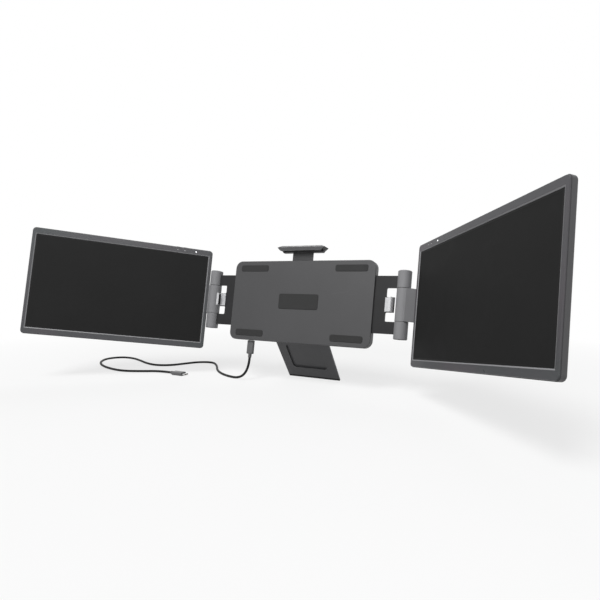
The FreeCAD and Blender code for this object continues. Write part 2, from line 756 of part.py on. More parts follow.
def make_clip():
    half = D["clip_bar_half"]
    bar = block(
        "clip_bar_plate", (-half, half), (CLIP_FRONT, CLIP_BACK), (D["clip_bar_low"], CLIP_TOP - 2.0)
    )
    window = block(
        "clip_bar_window",
        (-half + 8.0, half - 8.0),
        (CLIP_FRONT - 1.0, CLIP_BACK + 1.0),
        (dim(8.0), dim(52.0)),
    )
    keep("clip_bar", cut("clip_bar", bar, window))

    body = new_body("clip_hook")
    tip_z = D["host_top"] + 3.6
    low = D["host_top"] - D["clip_lap"]
    back = CLIP_BACK + 2.0
    heel = D["host_top"] - 2.2
    profile = polygon(
        (LIP_FRONT, low),
        (LIP_BACK, low),
        (LIP_BACK, CLIP_UNDER),
        (1.0, CLIP_UNDER),
        (1.0, heel),
        (back, heel),
        (back, CLIP_TOP),
        (LIP_FRONT + 3.4, CLIP_TOP),
        (LIP_FRONT, tip_z),
    )
    grow(body, "YZ", -D["clip_tip"], D["clip_tip"], profile)
    corners = []
    for side in (-1, 1):
        flat = side * D["clip_flat"]
        tip = side * D["clip_tip"]
        outside = side * (D["clip_tip"] + 1.0)
        corners.append(polygon((flat, CLIP_TOP), (tip, tip_z), (outside, tip_z),
                               (outside, CLIP_TOP + 1.0), (flat, CLIP_TOP + 1.0)))
        corners.append(polygon((flat, low), (flat, heel - 1.0), (outside, heel - 1.0),
                               (outside, tip_z - 0.02), (tip, tip_z - 0.02)))
    carve(body, "XZ", LIP_FRONT - 1.0, back + 1.0, *corners)
    slot = rectangle((-half, half), (CLIP_FRONT, CLIP_BACK))
    carve(body, "XY", heel - 1.0, CLIP_TOP - 2.0, slot)
    keep("clip_hook", body)

    pad_half = D["clip_flat"] - 3.0
    pad_y = (LIP_BACK + 0.4, dim(0.8))
    keep("clip_pad", block("clip_pad", (-pad_half, pad_half), pad_y, (D["host_top"], CLIP_UNDER)))


def stand_placement():
    """The leg swung out until its foot is down."""
    lean = math.radians(D["lean"].number)
    low, deep = -STAND_LOW.number, STAND_DEPTH.number
    height = low * math.cos(lean) - deep * math.sin(lean) + D["stand_drop"].number
    foot = D["stand_thick"].number / 2
    swing = math.degrees(math.acos((height - foot) / STAND_LONG.number))
    turn = Rotation(Vector(1, 0, 0), swing + D["lean"].number - 180)
    return Placement(Vector(0, deep, low), turn)


def make_stand():
    where = stand_placement()
    half = D["stand_half"]
    thick = D["stand_thick"] / 2
    foot_at = STAND_LONG - 3.0
    body = new_body("stand_leg")
    grow(body, "XZ", -thick, thick, rectangle((-half, half), (dim(0.0), foot_at)))
    window = rounded((-half + 16.0, half - 16.0), (dim(22.0), STAND_LONG - 22.0), 6.0)
    carve(body, "XZ", -thick + 1.2, thick, window)
    grow(body, "YZ", -half, half, circle(0, 0, D["stand_barrel"]))
    bore = circle(0, 0, D["pin_radius"] + D["run_fit"])
    carve(body, "YZ", -half - 1.0, half + 1.0, bore)
    keep("stand_leg", body, where)

    end = STAND_LONG + thick
    body = new_body("stand_foot")
    strip = rounded((-thick, thick), (foot_at, end), thick - 0.02)
    grow(body, "YZ", -half, half, strip)
    heel = rectangle((-thick, thick), (foot_at, foot_at + thick))
    grow(body, "YZ", -half, half, heel)
    keep("stand_foot", body, where)


def barrel_placement(side):
    return Placement(Vector(side * AXIS_OUT.number, D["barrel_depth"].number, 0), Rotation())


def screen_placement(side):
    yaw = D["left_yaw"] if side < 0 else D["right_yaw"]
    turn = Rotation(Vector(0, 0, 1), -side * yaw.number)
    return barrel_placement(side).multiply(Placement(Vector(0, 0, 0), turn))


def make_arm(name, side):
    body = new_body(f"{name}_arm_plate")
    start, root = side * D["arm_start"], side * ARM_ROOT
    ear, tongue = side * EAR_END, side * TONGUE_END
    tall, gap, mid = ARM_HALF, EAR_LOW, D["tongue_half"]
    outline = polygon(
        (start, -tall),
        (ear, -tall),
        (ear, -gap),
        (root, -gap),
        (root, -mid),
        (tongue, -mid),
        (tongue, mid),
        (root, mid),
        (root, gap),
        (ear, gap),
        (ear, tall),
        (start, tall),
    )
    stop = D["stop_radius"]
    slot = rectangle(
        span(side, STOP_OUT - D["extend"] - stop, STOP_OUT + D["retract"] + stop),
        (-stop - D["loose"], stop + D["loose"]),
    )
    grow(body, "XZ", ARM_FRONT, ARM_BACK, outline)
    carve(body, "XZ", ARM_FRONT, ARM_BACK, slot)
    pegs = [circle(side * peg_across(), z, D["peg_radius"]) for z in peg_heights()]
    carve(body, "XZ", ARM_FRONT, ARM_BACK, *pegs)
    dress(body, "Fillet", 2.0, slot_roots(root))
    keep(f"{name}_arm_plate", body)

    shoes = []
    shoe_x = span(side, D["arm_start"] + 1.0, D["arm_start"] + 1.0 + D["shoe_long"])
    for up in (-1, 1):
        z = span(up, ARM_HALF - D["shoe_tall"] + 1.0, SHOE_TOP)
        edge = span(up, ARM_HALF - D["shoe_tall"], ARM_HALF)
        strip = block("shoe_strip", shoe_x, (SHOE_FRONT, SHOE_BACK), z)
        plate = block("shoe_groove", shoe_x, (ARM_FRONT, ARM_BACK), edge)
        shoes.append(cut("slide_shoe", strip, plate))
    keep(f"{name}_slide_shoes", group(f"{name}_slide_shoes", *shoes))

    make_side_hook(name, side)
    make_knuckles(name, side)


def slot_roots(root):
    """Picks the inner corners of the see-through slots."""

    def test(edge):
        box = edge.BoundBox
        upright = box.YLength > 1.0 and box.XLength < 1e-4 and box.ZLength < 1e-4
        return upright and abs(box.XMin - root.number) < 1e-3

    return test


def peg_across():
    return D["host_wide"] / 2 - 4.0


def peg_heights():
    return (-D["peg_high"], D["peg_high"])


def make_side_hook(name, side):
    body = new_body(f"{name}_side_hook")
    edge = D["host_wide"] / 2 + D["hook_pad"]
    base_y = ARM_FRONT - D["hook_wall"]
    lip = D["host_wide"] / 2 - D["hook_reach"]
    profile = polygon(
        (side * (edge - 10.5), ARM_FRONT),
        (side * (edge + D["hook_wall"]), ARM_FRONT),
        (side * (edge + D["hook_wall"]), LIP_FRONT + 1.2),
        (side * (edge + D["hook_wall"] - 1.2), LIP_FRONT),
        (side * lip, LIP_FRONT),
        (side * (lip + 0.5), LIP_BACK),
        (side * edge, LIP_BACK),
        (side * edge, base_y),
        (side * (edge - 10.5), base_y),
    )
    half = D["hook_tall"] / 2
    grow(body, "XY", -half, half, profile)
    pegs = [circle(side * peg_across(), z, D["peg_radius"]) for z in peg_heights()]
    grow(body, "XZ", ARM_FRONT - 0.5, ARM_BACK, *pegs)
    keep(f"{name}_side_hook", body)

    x = span(side, D["host_wide"] / 2, edge)
    pad_y = (LIP_BACK + 0.2, base_y - 0.2)
    pad = block(f"{name}_side_pad", x, pad_y, (-half + 1.0, half - 1.0))
    keep(f"{name}_side_pad", pad)


def make_knuckles(name, side):
    where = barrel_placement(side)
    bore = D["shaft_radius"]
    outer = D["barrel_radius"]
    nut_seat = D["shaft_radius"] + 3.5
    cap_seat = D["barrel_radius"] - 1.6
    for end, up in (("upper", 1), ("lower", -1)):
        body = new_body(f"{name}_{end}_knuckle")
        spin(
            body,
            (bore, up * KNUCKLE_LOW),
            (outer - 0.4, up * KNUCKLE_LOW),
            (outer, up * (KNUCKLE_LOW + 0.4)),
            (outer, up * (D["barrel_half"] - 0.8)),
            (outer - 0.8, up * D["barrel_half"]),
            (cap_seat, up * D["barrel_half"]),
            (cap_seat, up * (D["barrel_half"] - 1.5)),
            (nut_seat, up * (D["barrel_half"] - 1.5)),
            (nut_seat, up * (D["barrel_half"] - 9.0)),
            (bore, up * (D["barrel_half"] - 9.0)),
        )
        # The ear of the arm plate fills this slot.
        slot_x = span(-side, D["ear_grip"], D["barrel_radius"] + 1.0)
        half = D["arm_thick"] / 2
        notch = rectangle(slot_x, (-half, half))
        low, high = span(up, EAR_LOW, ARM_HALF)
        carve(body, "XY", low, high, notch)
        keep(f"{name}_{end}_knuckle", body, where)

    washers = []
    for up in (-1, 1):
        z, top = span(up, KNUCKLE_LOW - D["washer_thick"], KNUCKLE_LOW)
        disc = rod("washer_disc", "Z", outer - 0.6, (0, 0, z), top - z)
        hole = rod("washer_hole", "Z", bore, (0, 0, z), top - z)
        washers.append(cut("washer", disc, hole))
    keep(f"{name}_hinge_washers", group(f"{name}_hinge_washers", *washers), where)

    seat = D["barrel_half"] - 9.0
    body = new_body(f"{name}_hinge_shaft")
    head = D["shaft_radius"] + 2.4
    spin(
        body,
        (0, -D["barrel_half"] + 2.6),
        (bore - 0.5, -D["barrel_half"] + 2.6),
        (bore, -D["barrel_half"] + 3.1),
        (bore, seat),
        (head, seat),
        (head, seat + 2.4),
        (head - 0.6, seat + 3.0),
        (0, seat + 3.0),
    )
    keep(f"{name}_hinge_shaft", body, where)

    discs = []
    for number in range(2):
        low = -seat - 0.7 * (number + 1)
        ring = rod("spring_disc", "Z", head, (0, 0, low), 0.7)
        hole = rod("spring_disc_hole", "Z", bore, (0, 0, low), 0.7)
        discs.append(cut("spring_disc", ring, hole))
    nut = doc.addObject("Part::Prism", "nut_hexagon")
    nut.Polygon = 6
    bind(nut, "Circumradius", head + 0.4)
    bind(nut, "Height", 3.2)
    place(nut, 0, 0, -seat - 1.4 - 3.2)
    thread = rod("nut_thread", "Z", bore, (0, 0, -seat - 1.4 - 3.2), 3.2)
    nut_ring = cut("hinge_nut", nut, thread)
    keep(f"{name}_tension_nut", group(f"{name}_tension_nut", nut_ring, *discs), where)

    caps = []
    for up in (-1, 1):
        z, top = span(up, D["barrel_half"] - 1.5, D["barrel_half"] - 0.1)
        caps.append(rod("cap", "Z", cap_seat, (0, 0, z), top - z))
    keep(f"{name}_knuckle_caps", group(f"{name}_knuckle_caps", *caps), where)


LEAF_THICK = 2.0
LEAF_SCREW_REACH = 3.6
LEAF_SCREW_HEIGHTS = (-17.0, 0.0, 17.0)


def make_leaf(name, side):
    where = screen_placement(side)
    half = D["middle_half"]
    length = half * 2
    barrel = rod("leaf_barrel", "Z", D["barrel_radius"], (0, 0, -half), length)
    plate = block(
        "leaf_plate",
        span(side, D["monitor_in"] - LEAF_THICK, D["monitor_in"]),
        (dim(-1.5), MONITOR_BACK - 0.6),
        (-half, half),
    )
    web = block(
        "leaf_web",
        span(side, 5.5, D["monitor_in"] - 0.5),
        (dim(0.0), dim(7.0)),
        (-half, half),
    )
    bore = rod("leaf_bore", "Z", D["shaft_radius"] + D["run_fit"], (0, 0, -half), length)
    holes = [leaf_screw_hole(side, z) for z in LEAF_SCREW_HEIGHTS]
    blank = fuse("leaf_blank", barrel, plate, web)
    keep(f"{name}_hinge_leaf", cut(f"{name}_hinge_leaf", blank, bore, *holes), where)

    screws = []
    for z in LEAF_SCREW_HEIGHTS:
        shank = leaf_screw_hole(side, z)
        x, _ = span(side, D["monitor_in"] - LEAF_THICK - 0.9, D["monitor_in"] - LEAF_THICK)
        head = rod("leaf_screw_head", "X", 1.9, (x, leaf_screw_depth(), z), 0.9)
        screws.append(fuse("leaf_screw", shank, head))
    keep(f"{name}_leaf_screws", group(f"{name}_leaf_screws", *screws), where)


def leaf_screw_depth():
    return FRONT + 5.6


def leaf_screw_hole(side, z):
    """A leaf screw's shank, which the holes in leaf and shell also take."""
    low, high = span(side, SCREEN_IN - LEAF_THICK, SCREEN_IN + LEAF_SCREW_REACH)
    return rod("leaf_screw_shank", "X", 1.1, (low, leaf_screw_depth(), z), high - low)


def make_screen(name, side):
    where = screen_placement(side)
    across = span(side, SCREEN_IN, SCREEN_OUT)
    upright = (-SCREEN_HALF, SCREEN_HALF)
    wall = D["shell_wall"]

    body = new_body(f"{name}_rear_shell")
    outline = rounded(across, upright, D["monitor_corner"])
    grow(body, "XZ", BEZEL_BACK, MONITOR_BACK, outline)
    dress(body, "Fillet", D["shell_edge"], rim(MONITOR_BACK))
    inner = rounded(
        (across[0] + wall, across[1] - wall),
        (upright[0] + wall, upright[1] - wall),
        D["monitor_corner"] - wall,
    )
    carve(body, "XZ", BEZEL_BACK, SHELL_INNER, inner)
    boss_x = span(side, SCREEN_IN + wall - 0.5, SCREEN_IN + 4.0)
    boss = rectangle(boss_x, (-D["middle_half"], D["middle_half"]))
    grow(body, "XZ", leaf_screw_depth() - 2.4, SHELL_INNER + 0.5, boss)
    posts = [square(x, z, POST_HALF) for x, z in driver_posts(side)]
    grow(body, "XZ", BOARD_BACK, SHELL_INNER + 0.5, *posts)
    screw_holes = [circle(leaf_screw_depth(), z, 1.1) for z in LEAF_SCREW_HEIGHTS]
    low, high = span(side, SCREEN_IN - 1.0, SCREEN_IN + LEAF_SCREW_REACH)
    carve(body, "YZ", low, high, *screw_holes)
    slots = []
    for along in (POWER_AT[name], MENU_AT[name]):
        x = side * (SCREEN_IN + along)
        half = D["key_long"] / 2 + 0.15
        deep = D["key_deep"] / 2 + 0.15
        slots.append(rounded((x - half, x + half), (KEY_MID - deep, KEY_MID + deep), 1.4))
    carve(body, "XY", SCREEN_HALF - wall - 0.5, SCREEN_HALF + 0.5, *slots)
    keep(f"{name}_rear_shell", body, where)

    body = new_body(f"{name}_bezel")
    inset = D["bezel_inset"]
    outline = rounded(
        (across[0] + inset, across[1] - inset),
        (upright[0] + inset, upright[1] - inset),
        D["monitor_corner"] - inset,
    )
    grow(body, "XZ", FRONT, BEZEL_BACK, outline)
    dress(body, "Chamfer", 0.35, rim(FRONT))
    picture_x = (side * SCREEN_MID - PICTURE_WIDE / 2, side * SCREEN_MID + PICTURE_WIDE / 2)
    picture_z = (-PICTURE_TALL / 2, PICTURE_TALL / 2)
    carve(body, "XZ", FRONT, BEZEL_BACK, rectangle(picture_x, picture_z))
    dress(body, "Chamfer", D["picture_bevel"], inner_rim(FRONT, picture_x, picture_z))
    lap = D["glass_lap"] + 0.1
    seat = rectangle(
        (picture_x[0] - lap, picture_x[1] + lap), (picture_z[0] - lap, picture_z[1] + lap)
    )
    carve(body, "XZ", GLASS_FRONT, BEZEL_BACK, seat)
    light_x = side * (SCREEN_IN + LIGHT_AT[name])
    carve(body, "XZ", FRONT, BEZEL_BACK, circle(light_x, MARK_HIGH, D["light_radius"] + 0.05))
    keep(f"{name}_bezel", body, where)

    lap = D["glass_lap"]
    glass_x = (picture_x[0] - lap, picture_x[1] + lap)
    glass_z = (picture_z[0] - lap, picture_z[1] + lap)
    glass = block(f"{name}_screen_glass", glass_x, (GLASS_FRONT, GLASS_BACK), glass_z)
    keep(f"{name}_screen_glass", glass, where)
    unit = block(f"{name}_backlight_unit", glass_x, (GLASS_BACK, LIGHT_BACK), glass_z)
    keep(f"{name}_backlight_unit", unit, where)

    make_driver(name, side, where, light_x)


def inner_rim(level, x, z):
    """Picks the edges round the bezel's opening at its front."""
    front = rim(level)
    reach_x = (x[0].number - 1e-3, x[1].number + 1e-3)
    reach_z = (z[0].number - 1e-3, z[1].number + 1e-3)

    def test(edge):
        box = edge.BoundBox
        inside = reach_x[0] <= box.XMin and box.XMax <= reach_x[1]
        return front(edge) and inside and reach_z[0] <= box.ZMin and box.ZMax <= reach_z[1]

    return test


POST_HALF = 1.8
DRIVER_SPAN = (14.0, 118.0)
DRIVER_TALL = 36.35
CHIP_HALF = 7.0
CHIP_ALONG = 82.0
CHIP_UP = 8.0
POST_UP = 24.0
POST_IN = 4.0
SWITCH_TALL = 2.2


def driver_top():
    """Top edge of the driver board, under the keys' switches."""
    return SCREEN_HALF - D["shell_wall"] - 1.3 - D["slack"] - SWITCH_TALL


def driver_low():
    """Lower edge of the driver board."""
    return driver_top() - DRIVER_TALL


def driver_posts(side):
    """Places of the posts that carry the driver board."""
    spots = []
    for along in (DRIVER_SPAN[0] + POST_IN, DRIVER_SPAN[1] - POST_IN):
        for up in (POST_IN, POST_UP):
            spots.append((side * (SCREEN_IN + along), driver_low() + up))
    return spots


def make_driver(name, side, where, light_x):
    x = span(side, SCREEN_IN + DRIVER_SPAN[0], SCREEN_IN + DRIVER_SPAN[1])
    top = driver_top()
    plate = block("driver_plate", x, (BOARD_FRONT, BOARD_BACK), (driver_low(), top))
    chip_mid = side * (SCREEN_IN + CHIP_ALONG)
    chip_low = driver_low() + CHIP_UP
    chip = block(
        "driver_chip",
        (chip_mid - CHIP_HALF, chip_mid + CHIP_HALF),
        (BOARD_BACK - 0.2, BOARD_BACK + 0.8),
        (chip_low, chip_low + CHIP_HALF * 2),
    )
    switches = []
    for along in (POWER_AT[name], MENU_AT[name]):
        middle = side * (SCREEN_IN + along)
        switches.append(
            block(
                "key_switch",
                (middle - 1.6, middle + 1.6),
                (BOARD_FRONT, BOARD_BACK),
                (top - 0.5, top + SWITCH_TALL - D["loose"] * 2),
            )
        )
    keep(f"{name}_driver_board", fuse(f"{name}_driver_board", plate, chip, *switches), where)

    reach = BOARD_FRONT - FRONT
    start = (light_x, FRONT, MARK_HIGH)
    light = rod(f"{name}_status_light", "Y", D["light_radius"], start, reach)
    keep(f"{name}_status_light", light, where)

    for label, along in (("power", POWER_AT[name]), ("menu", MENU_AT[name])):
        middle = side * (SCREEN_IN + along)
        body = new_body(f"{name}_{label}_key")
        half, deep = D["key_long"] / 2, D["key_deep"] / 2
        cap = rounded((middle - half, middle + half), (KEY_MID - deep, KEY_MID + deep), 1.3)
        under = SCREEN_HALF - D["shell_wall"]
        grow(body, "XY", under - 1.0, SCREEN_HALF + D["key_proud"], cap)
        dress(body, "Chamfer", 0.3, rim(SCREEN_HALF + D["key_proud"], "z"))
        flange = rectangle(
            (middle - half - 0.8, middle + half + 0.8), (KEY_MID - deep - 0.4, KEY_MID + deep + 0.4)
        )
        grow(body, "XY", under - 1.1, under - 0.3, flange)
        keep(f"{name}_{label}_key", body, where)


def plug_pieces(prefix, where):
    """A flat oval plug that points up Z, with the cable leaving downwards."""
    half_wide, half_deep = D["plug_half_wide"], D["plug_half_deep"]
    body = new_body(f"{prefix}_shell")
    outer = rounded((-half_wide, half_wide), (-half_deep, half_deep), half_deep - 0.02)
    grow(body, "XY", 0.0, D["plug_long"], outer)
    skin = 0.3
    inner = rounded(
        (-half_wide + skin, half_wide - skin),
        (-half_deep + skin, half_deep - skin),
        half_deep - skin - 0.02,
    )
    carve(body, "XY", 0.6, D["plug_long"], inner)
    keep_raw(f"{prefix}_shell", body, where)

    wide, deep = D["grip_half_wide"], D["grip_half_deep"]
    body = new_body(f"{prefix}_grip")
    grow(body, "XY", -D["grip_long"], 0.0, rounded((-wide, wide), (-deep, deep), 2.6))
    dress(body, "Chamfer", 0.6, rim(0.0, "z"))
    dress(body, "Chamfer", 1.6, rim(-D["grip_long"], "z"))
    tail = cone(
        "relief",
        "Z",
        D["relief_radius"],
        D["grip_half_deep"] - 0.3,
        (0, 0, -D["grip_long"] - D["relief_long"]),
        D["relief_long"] + 0.5,
    )
    keep_raw(f"{prefix}_grip", fuse(f"{prefix}_grip", body, tail), where)


def keep_raw(name, thing, where):
    """Names a piece that is placed straight in the leaning frame."""
    thing.Label = name
    nodes.append((name, thing, where))


def cable_arcs(points):
    """Tangent arc at each inner point: start, middle, end and radius."""
    arcs = []
    for before, here, after in zip(points, points[1:], points[2:]):
        back, ahead = before - here, after - here
        shorter = min(back.Length, ahead.Length)
        trim = 0.45 * shorter
        half_turn = (math.pi - back.getAngle(ahead)) / 2
        radius = trim / math.tan(half_turn)
        back.normalize()
        ahead.normalize()
        inward = (back + ahead).normalize()
        reach = radius / math.cos(half_turn) - radius
        arcs.append((here + back * trim, here + inward * reach, here + ahead * trim, radius))
    return arcs


CABLE_SIDES = 8


def cable_ring(at, direction):
    """The cable's section at a point, an outline with flat sides."""
    direction = Vector(direction).normalize()
    across = direction.cross(Vector(0, 0, 1))
    if across.Length < 0.2:
        across = direction.cross(Vector(0, 1, 0))
    across.normalize()
    up = across.cross(direction)
    corners = []
    for step in range(CABLE_SIDES + 1):
        angle = 2 * math.pi * (step % CABLE_SIDES + 0.5) / CABLE_SIDES
        turn = across * math.cos(angle) + up * math.sin(angle)
        corners.append(at + turn * D["cable_radius"].number)
    return Part.makePolygon(corners)


def cable_points():
    """The route's points, the first two straight below the housing's plug."""
    side, deep = PORT_SIDE.number, D["port_depth"].number
    length = D["plug_gap"] + D["grip_long"] + D["relief_long"]
    low = -HALF_TALL.number - length.number
    ends = [Vector(side, deep, low), Vector(side, deep, low - D["cable_drop"].number)]
    return [LEAN.multVec(end) for end in ends] + [Vector(*point) for point in CABLE_ROUTE]


def make_cable():
    points = cable_points()
    arcs = cable_arcs(points)
    edges = []
    at = points[0]
    for start, middle, end, _ in arcs:
        edges.append(Part.LineSegment(at, start).toShape())
        edges.append(Part.Arc(start, middle, end).toShape())
        at = end
    edges.append(Part.LineSegment(at, points[-1]).toShape())
    path = Part.Wire(edges)
    print("cable radii", [round(radius, 1) for _, _, _, radius in arcs])
    print("cable length", round(path.Length, 1))
    ring = cable_ring(points[0], points[1] - points[0])
    tube = Part.BRepOffsetAPI.MakePipeShell(path)
    tube.add(ring)
    tube.build()
    tube.makeSolid()
    solid = tube.shape()
    section = Part.Face(ring).Area
    print("cable volume ratio", round(abs(solid.Volume) / (section * path.Length), 4))
    cable = doc.addObject("Part::Feature", "usb_cable")
    cable.Shape = solid
    keep_raw("usb_cable", cable, Placement())

    reach = D["grip_long"].number + D["relief_long"].number
    top = -HALF_TALL.number - D["plug_gap"].number
    plug_at = Vector(PORT_SIDE.number, D["port_depth"].number, top)
    plug_pieces("housing_plug", LEAN.multiply(Placement(plug_at, Rotation())))
    far = points[-1] + Vector(reach, 0, 0)
    lying = Rotation(Vector(0, 1, 0), 90).multiply(Rotation(Vector(0, 0, 1), 90))
    plug_pieces("laptop_plug", Placement(far, lying))


def finish():
    """Checks every object, puts the pieces in place and writes them."""
    doc.recompute()
    for thing in doc.Objects:
        if "Invalid" in thing.State or "Error" in thing.State:
            raise ValueError(f"{thing.Name} failed: {thing.State}")
    os.makedirs("parts", exist_ok=True)
    for name, thing, where in nodes:
        thing.Placement = where.multiply(thing.Placement)
        shape = thing.Shape
        if shape.isNull() or not shape.isValid() or not shape.Solids:
            raise ValueError(f"{name} has no valid solid")
        shape.exportStep(f"parts/{name}.step")
    print(len(nodes), "pieces written")


make_front_cover()
make_back_cover()
make_housing_inside()
make_clip()
make_stand()
for name, side in SIDES.items():
    make_arm(name, side)
    make_leaf(name, side)
    make_screen(name, side)
make_cable()
finish()
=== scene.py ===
import logging
import math
from dataclasses import dataclass
from enum import Enum
from typing import Callable, ClassVar

import bpy
from mathutils import Matrix, Vector


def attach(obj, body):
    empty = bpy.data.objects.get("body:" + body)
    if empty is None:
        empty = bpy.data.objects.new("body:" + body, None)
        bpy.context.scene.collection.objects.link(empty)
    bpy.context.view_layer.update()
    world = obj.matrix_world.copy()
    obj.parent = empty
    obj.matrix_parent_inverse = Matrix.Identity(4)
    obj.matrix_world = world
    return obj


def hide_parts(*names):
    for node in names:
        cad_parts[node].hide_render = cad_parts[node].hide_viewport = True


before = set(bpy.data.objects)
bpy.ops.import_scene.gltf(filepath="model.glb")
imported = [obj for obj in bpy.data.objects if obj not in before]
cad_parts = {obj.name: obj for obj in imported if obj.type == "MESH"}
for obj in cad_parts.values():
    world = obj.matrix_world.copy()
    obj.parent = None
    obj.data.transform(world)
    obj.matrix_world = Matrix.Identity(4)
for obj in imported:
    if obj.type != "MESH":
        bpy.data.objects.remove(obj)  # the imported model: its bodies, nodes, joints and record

LOG = logging.getLogger("screen_extender")
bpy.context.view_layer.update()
MM = 0.001

Point = tuple[float, float, float]
Colour = tuple[float, float, float]
PairTest = Callable[[Vector, Vector], bool]
PointTest = Callable[[Vector], bool]
Socket = bpy.types.NodeSocket


def metres(*sizes: float) -> tuple[float, ...]:
    """Millimetres as metres."""
    return tuple(size * MM for size in sizes)


def turn(degrees: float, axis: str) -> Matrix:
    """A turn about one of the axes."""
    return Matrix.Rotation(math.radians(degrees), 4, axis)


def shift(*place: float) -> Matrix:
    """A move by so many millimetres."""
    return Matrix.Translation(metres(*place))


# The housing, arms and monitors lean back together by this angle, about the X axis.
LEANING = turn(-10.42, "X")


class Side(Enum):
    """The two sides of the extender, with the sign of their X."""

    LEFT = -1
    RIGHT = 1

    @property
    def label(self) -> str:
        """The side's name as the nodes and bodies write it."""
        return self.name.lower()


class Look(Enum):
    """The ways in which a surface is made."""

    MOULDED = "moulded"
    BRUSHED = "brushed"
    BOARD = "board"


def select_only(obj: bpy.types.Object) -> None:
    """Leaves one object selected and active, in object mode.

    Args:
        obj: The object that the next operators act on.
    """
    if bpy.context.mode != "OBJECT":
        bpy.ops.object.mode_set(mode="OBJECT")
    bpy.ops.object.select_all(action="DESELECT")
    obj.select_set(True)
    bpy.context.view_layer.objects.active = obj


class Workpiece:
    """One mesh under work: its parts are picked by place and shaped with operators."""

    # Nearer points are one point, and faces turned less than this are one flat face.
    WELD = 2e-6
    FLAT = math.radians(0.4)

    # Sharper edges are broken, and blunter ones shade as round.
    SHARP = math.radians(28)
    ROUND = math.radians(48)

    # How near to a height an edge lies that belongs to it, in metres.
    TOUCH = 1e-6

    def __init__(self, obj: bpy.types.Object) -> None:
        """Takes an object in hand."""
        self.obj = obj

    @classmethod
    def block(cls, name: str, centre: Point, size: Point) -> "Workpiece":
        """Starts from a block.

        Args:
            name: Name of the piece.
            centre: Middle of the block in metres.
            size: Its three sides in metres.

        Returns:
            The block, as a workpiece.
        """
        bpy.ops.object.select_all(action="DESELECT")
        bpy.ops.mesh.primitive_cube_add(size=1.0, location=centre)
        piece = cls(bpy.context.active_object)
        piece.obj.name = name
        piece.obj.scale = size
        return piece.settle()

    @classmethod
    def turned(cls, name: str, stations: list[tuple[float, float]], sides: int) -> "Workpiece":
        """Turns a round piece about Z: a disc extruded and scaled from station to station.

        Args:
            name: Name of the piece.
            stations: Height and radius of each station in millimetres.
            sides: Number of flat sides round the piece.

        Returns:
            The closed round piece, as a workpiece.
        """
        height, radius = stations[0]
        bpy.ops.object.select_all(action="DESELECT")
        bpy.ops.mesh.primitive_circle_add(
            vertices=sides, radius=radius * MM, fill_type="NGON", location=(0, 0, height * MM)
        )
        piece = cls(bpy.context.active_object)
        piece.obj.name = name
        piece.settle().edit_all()
        for next_height, next_radius in stations[1:]:
            rise = (0, 0, (next_height - height) * MM)
            bpy.ops.mesh.extrude_region_move(TRANSFORM_OT_translate={"value": rise})
            share = next_radius / radius
            bpy.ops.transform.resize(
                value=(share, share, 1), center_override=(0, 0, next_height * MM)
            )
            height, radius = next_height, next_radius
        return piece.face_outwards()

    @classmethod
    def copy_of(cls, node: str) -> "Workpiece":
        """Starts from a copy of a node's mesh, its loose triangles joined into flat faces.

        Args:
            node: The node that is copied.

        Returns:
            The joined copy, named after the node.
        """
        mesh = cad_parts[node].data.copy()
        piece = cls(bpy.data.objects.new(f"{node}_finished", mesh))
        bpy.context.scene.collection.objects.link(piece.obj)
        piece.edit_all()
        bpy.ops.mesh.remove_doubles(threshold=cls.WELD)
        bpy.ops.mesh.dissolve_limited(angle_limit=cls.FLAT)
        return piece.leave_edit()

    @classmethod
    def joined(cls, name: str, pieces: list["Workpiece"]) -> "Workpiece":
        """Makes one object of several workpieces, each still its own closed shell.

        Args:
            name: Name of the object.
            pieces: The workpieces, which are used up.

        Returns:
            The object, as a workpiece.
        """
        first, *others = pieces
        select_only(first.obj)
        for other in others:
            other.obj.select_set(True)
        bpy.ops.object.join()
        first.obj.name = name
        return first

    def settle(self) -> "Workpiece":
        """Puts the object's place, turn and scale into its mesh.

        Returns:
            The same workpiece.
        """
        select_only(self.obj)
        bpy.ops.object.transform_apply(location=True, rotation=True, scale=True)
        return self

    def moved(self, placement: Matrix) -> "Workpiece":
        """Moves the finished mesh to its place.

        Args:
            placement: From the drawing's own axes to the model's.

        Returns:
            The same workpiece.
        """
        self.obj.matrix_world = placement
        return self.settle()

    def edit_all(self) -> None:
        """Opens the mesh in edit mode, with all of it selected."""
        select_only(self.obj)
        bpy.ops.object.mode_set(mode="EDIT")
        bpy.ops.mesh.select_all(action="SELECT")

    def leave_edit(self) -> "Workpiece":
        """Goes back to object mode."""
        bpy.ops.object.mode_set(mode="OBJECT")
        return self

    def face_outwards(self) -> "Workpiece":
        """Turns every face of the closed mesh outwards.

        Returns:
            The same workpiece.
        """
        self.edit_all()
        bpy.ops.mesh.normals_make_consistent(inside=False)
        return self.leave_edit()

    def pick(self, kind: str, test: Callable[[object], bool]) -> "Workpiece":
        """Selects some parts of the mesh, in edit mode.

        Args:
            kind: The mesh's list of such parts: vertices, edges or polygons.
            test: Tells which of them are picked.

        Returns:
            The same workpiece, in edit mode.
        """
        select_only(self.obj)
        kinds = ("vertices", "edges", "polygons")
        bpy.context.tool_settings.mesh_select_mode = tuple(kind == other for other in kinds)
        for other in kinds:
            for part in getattr(self.obj.data, other):
                part.select = other == kind and test(part)
        bpy.ops.object.mode_set(mode="EDIT")
        return self

    def pick_faces(self, test: PairTest) -> "Workpiece":
        """Selects the faces whose centre and normal pass a test."""
        return self.pick("polygons", lambda face: test(face.center, face.normal))

    def pick_edges(self, test: PairTest) -> "Workpiece":
        """Selects the edges whose two ends pass a test."""
        points = self.obj.data.vertices
        return self.pick("edges", lambda edge: test(*(points[i].co for i in edge.vertices)))

    def pick_points(self, test: PointTest) -> "Workpiece":
        """Selects the points that pass a test."""
        return self.pick("vertices", lambda point: test(point.co))

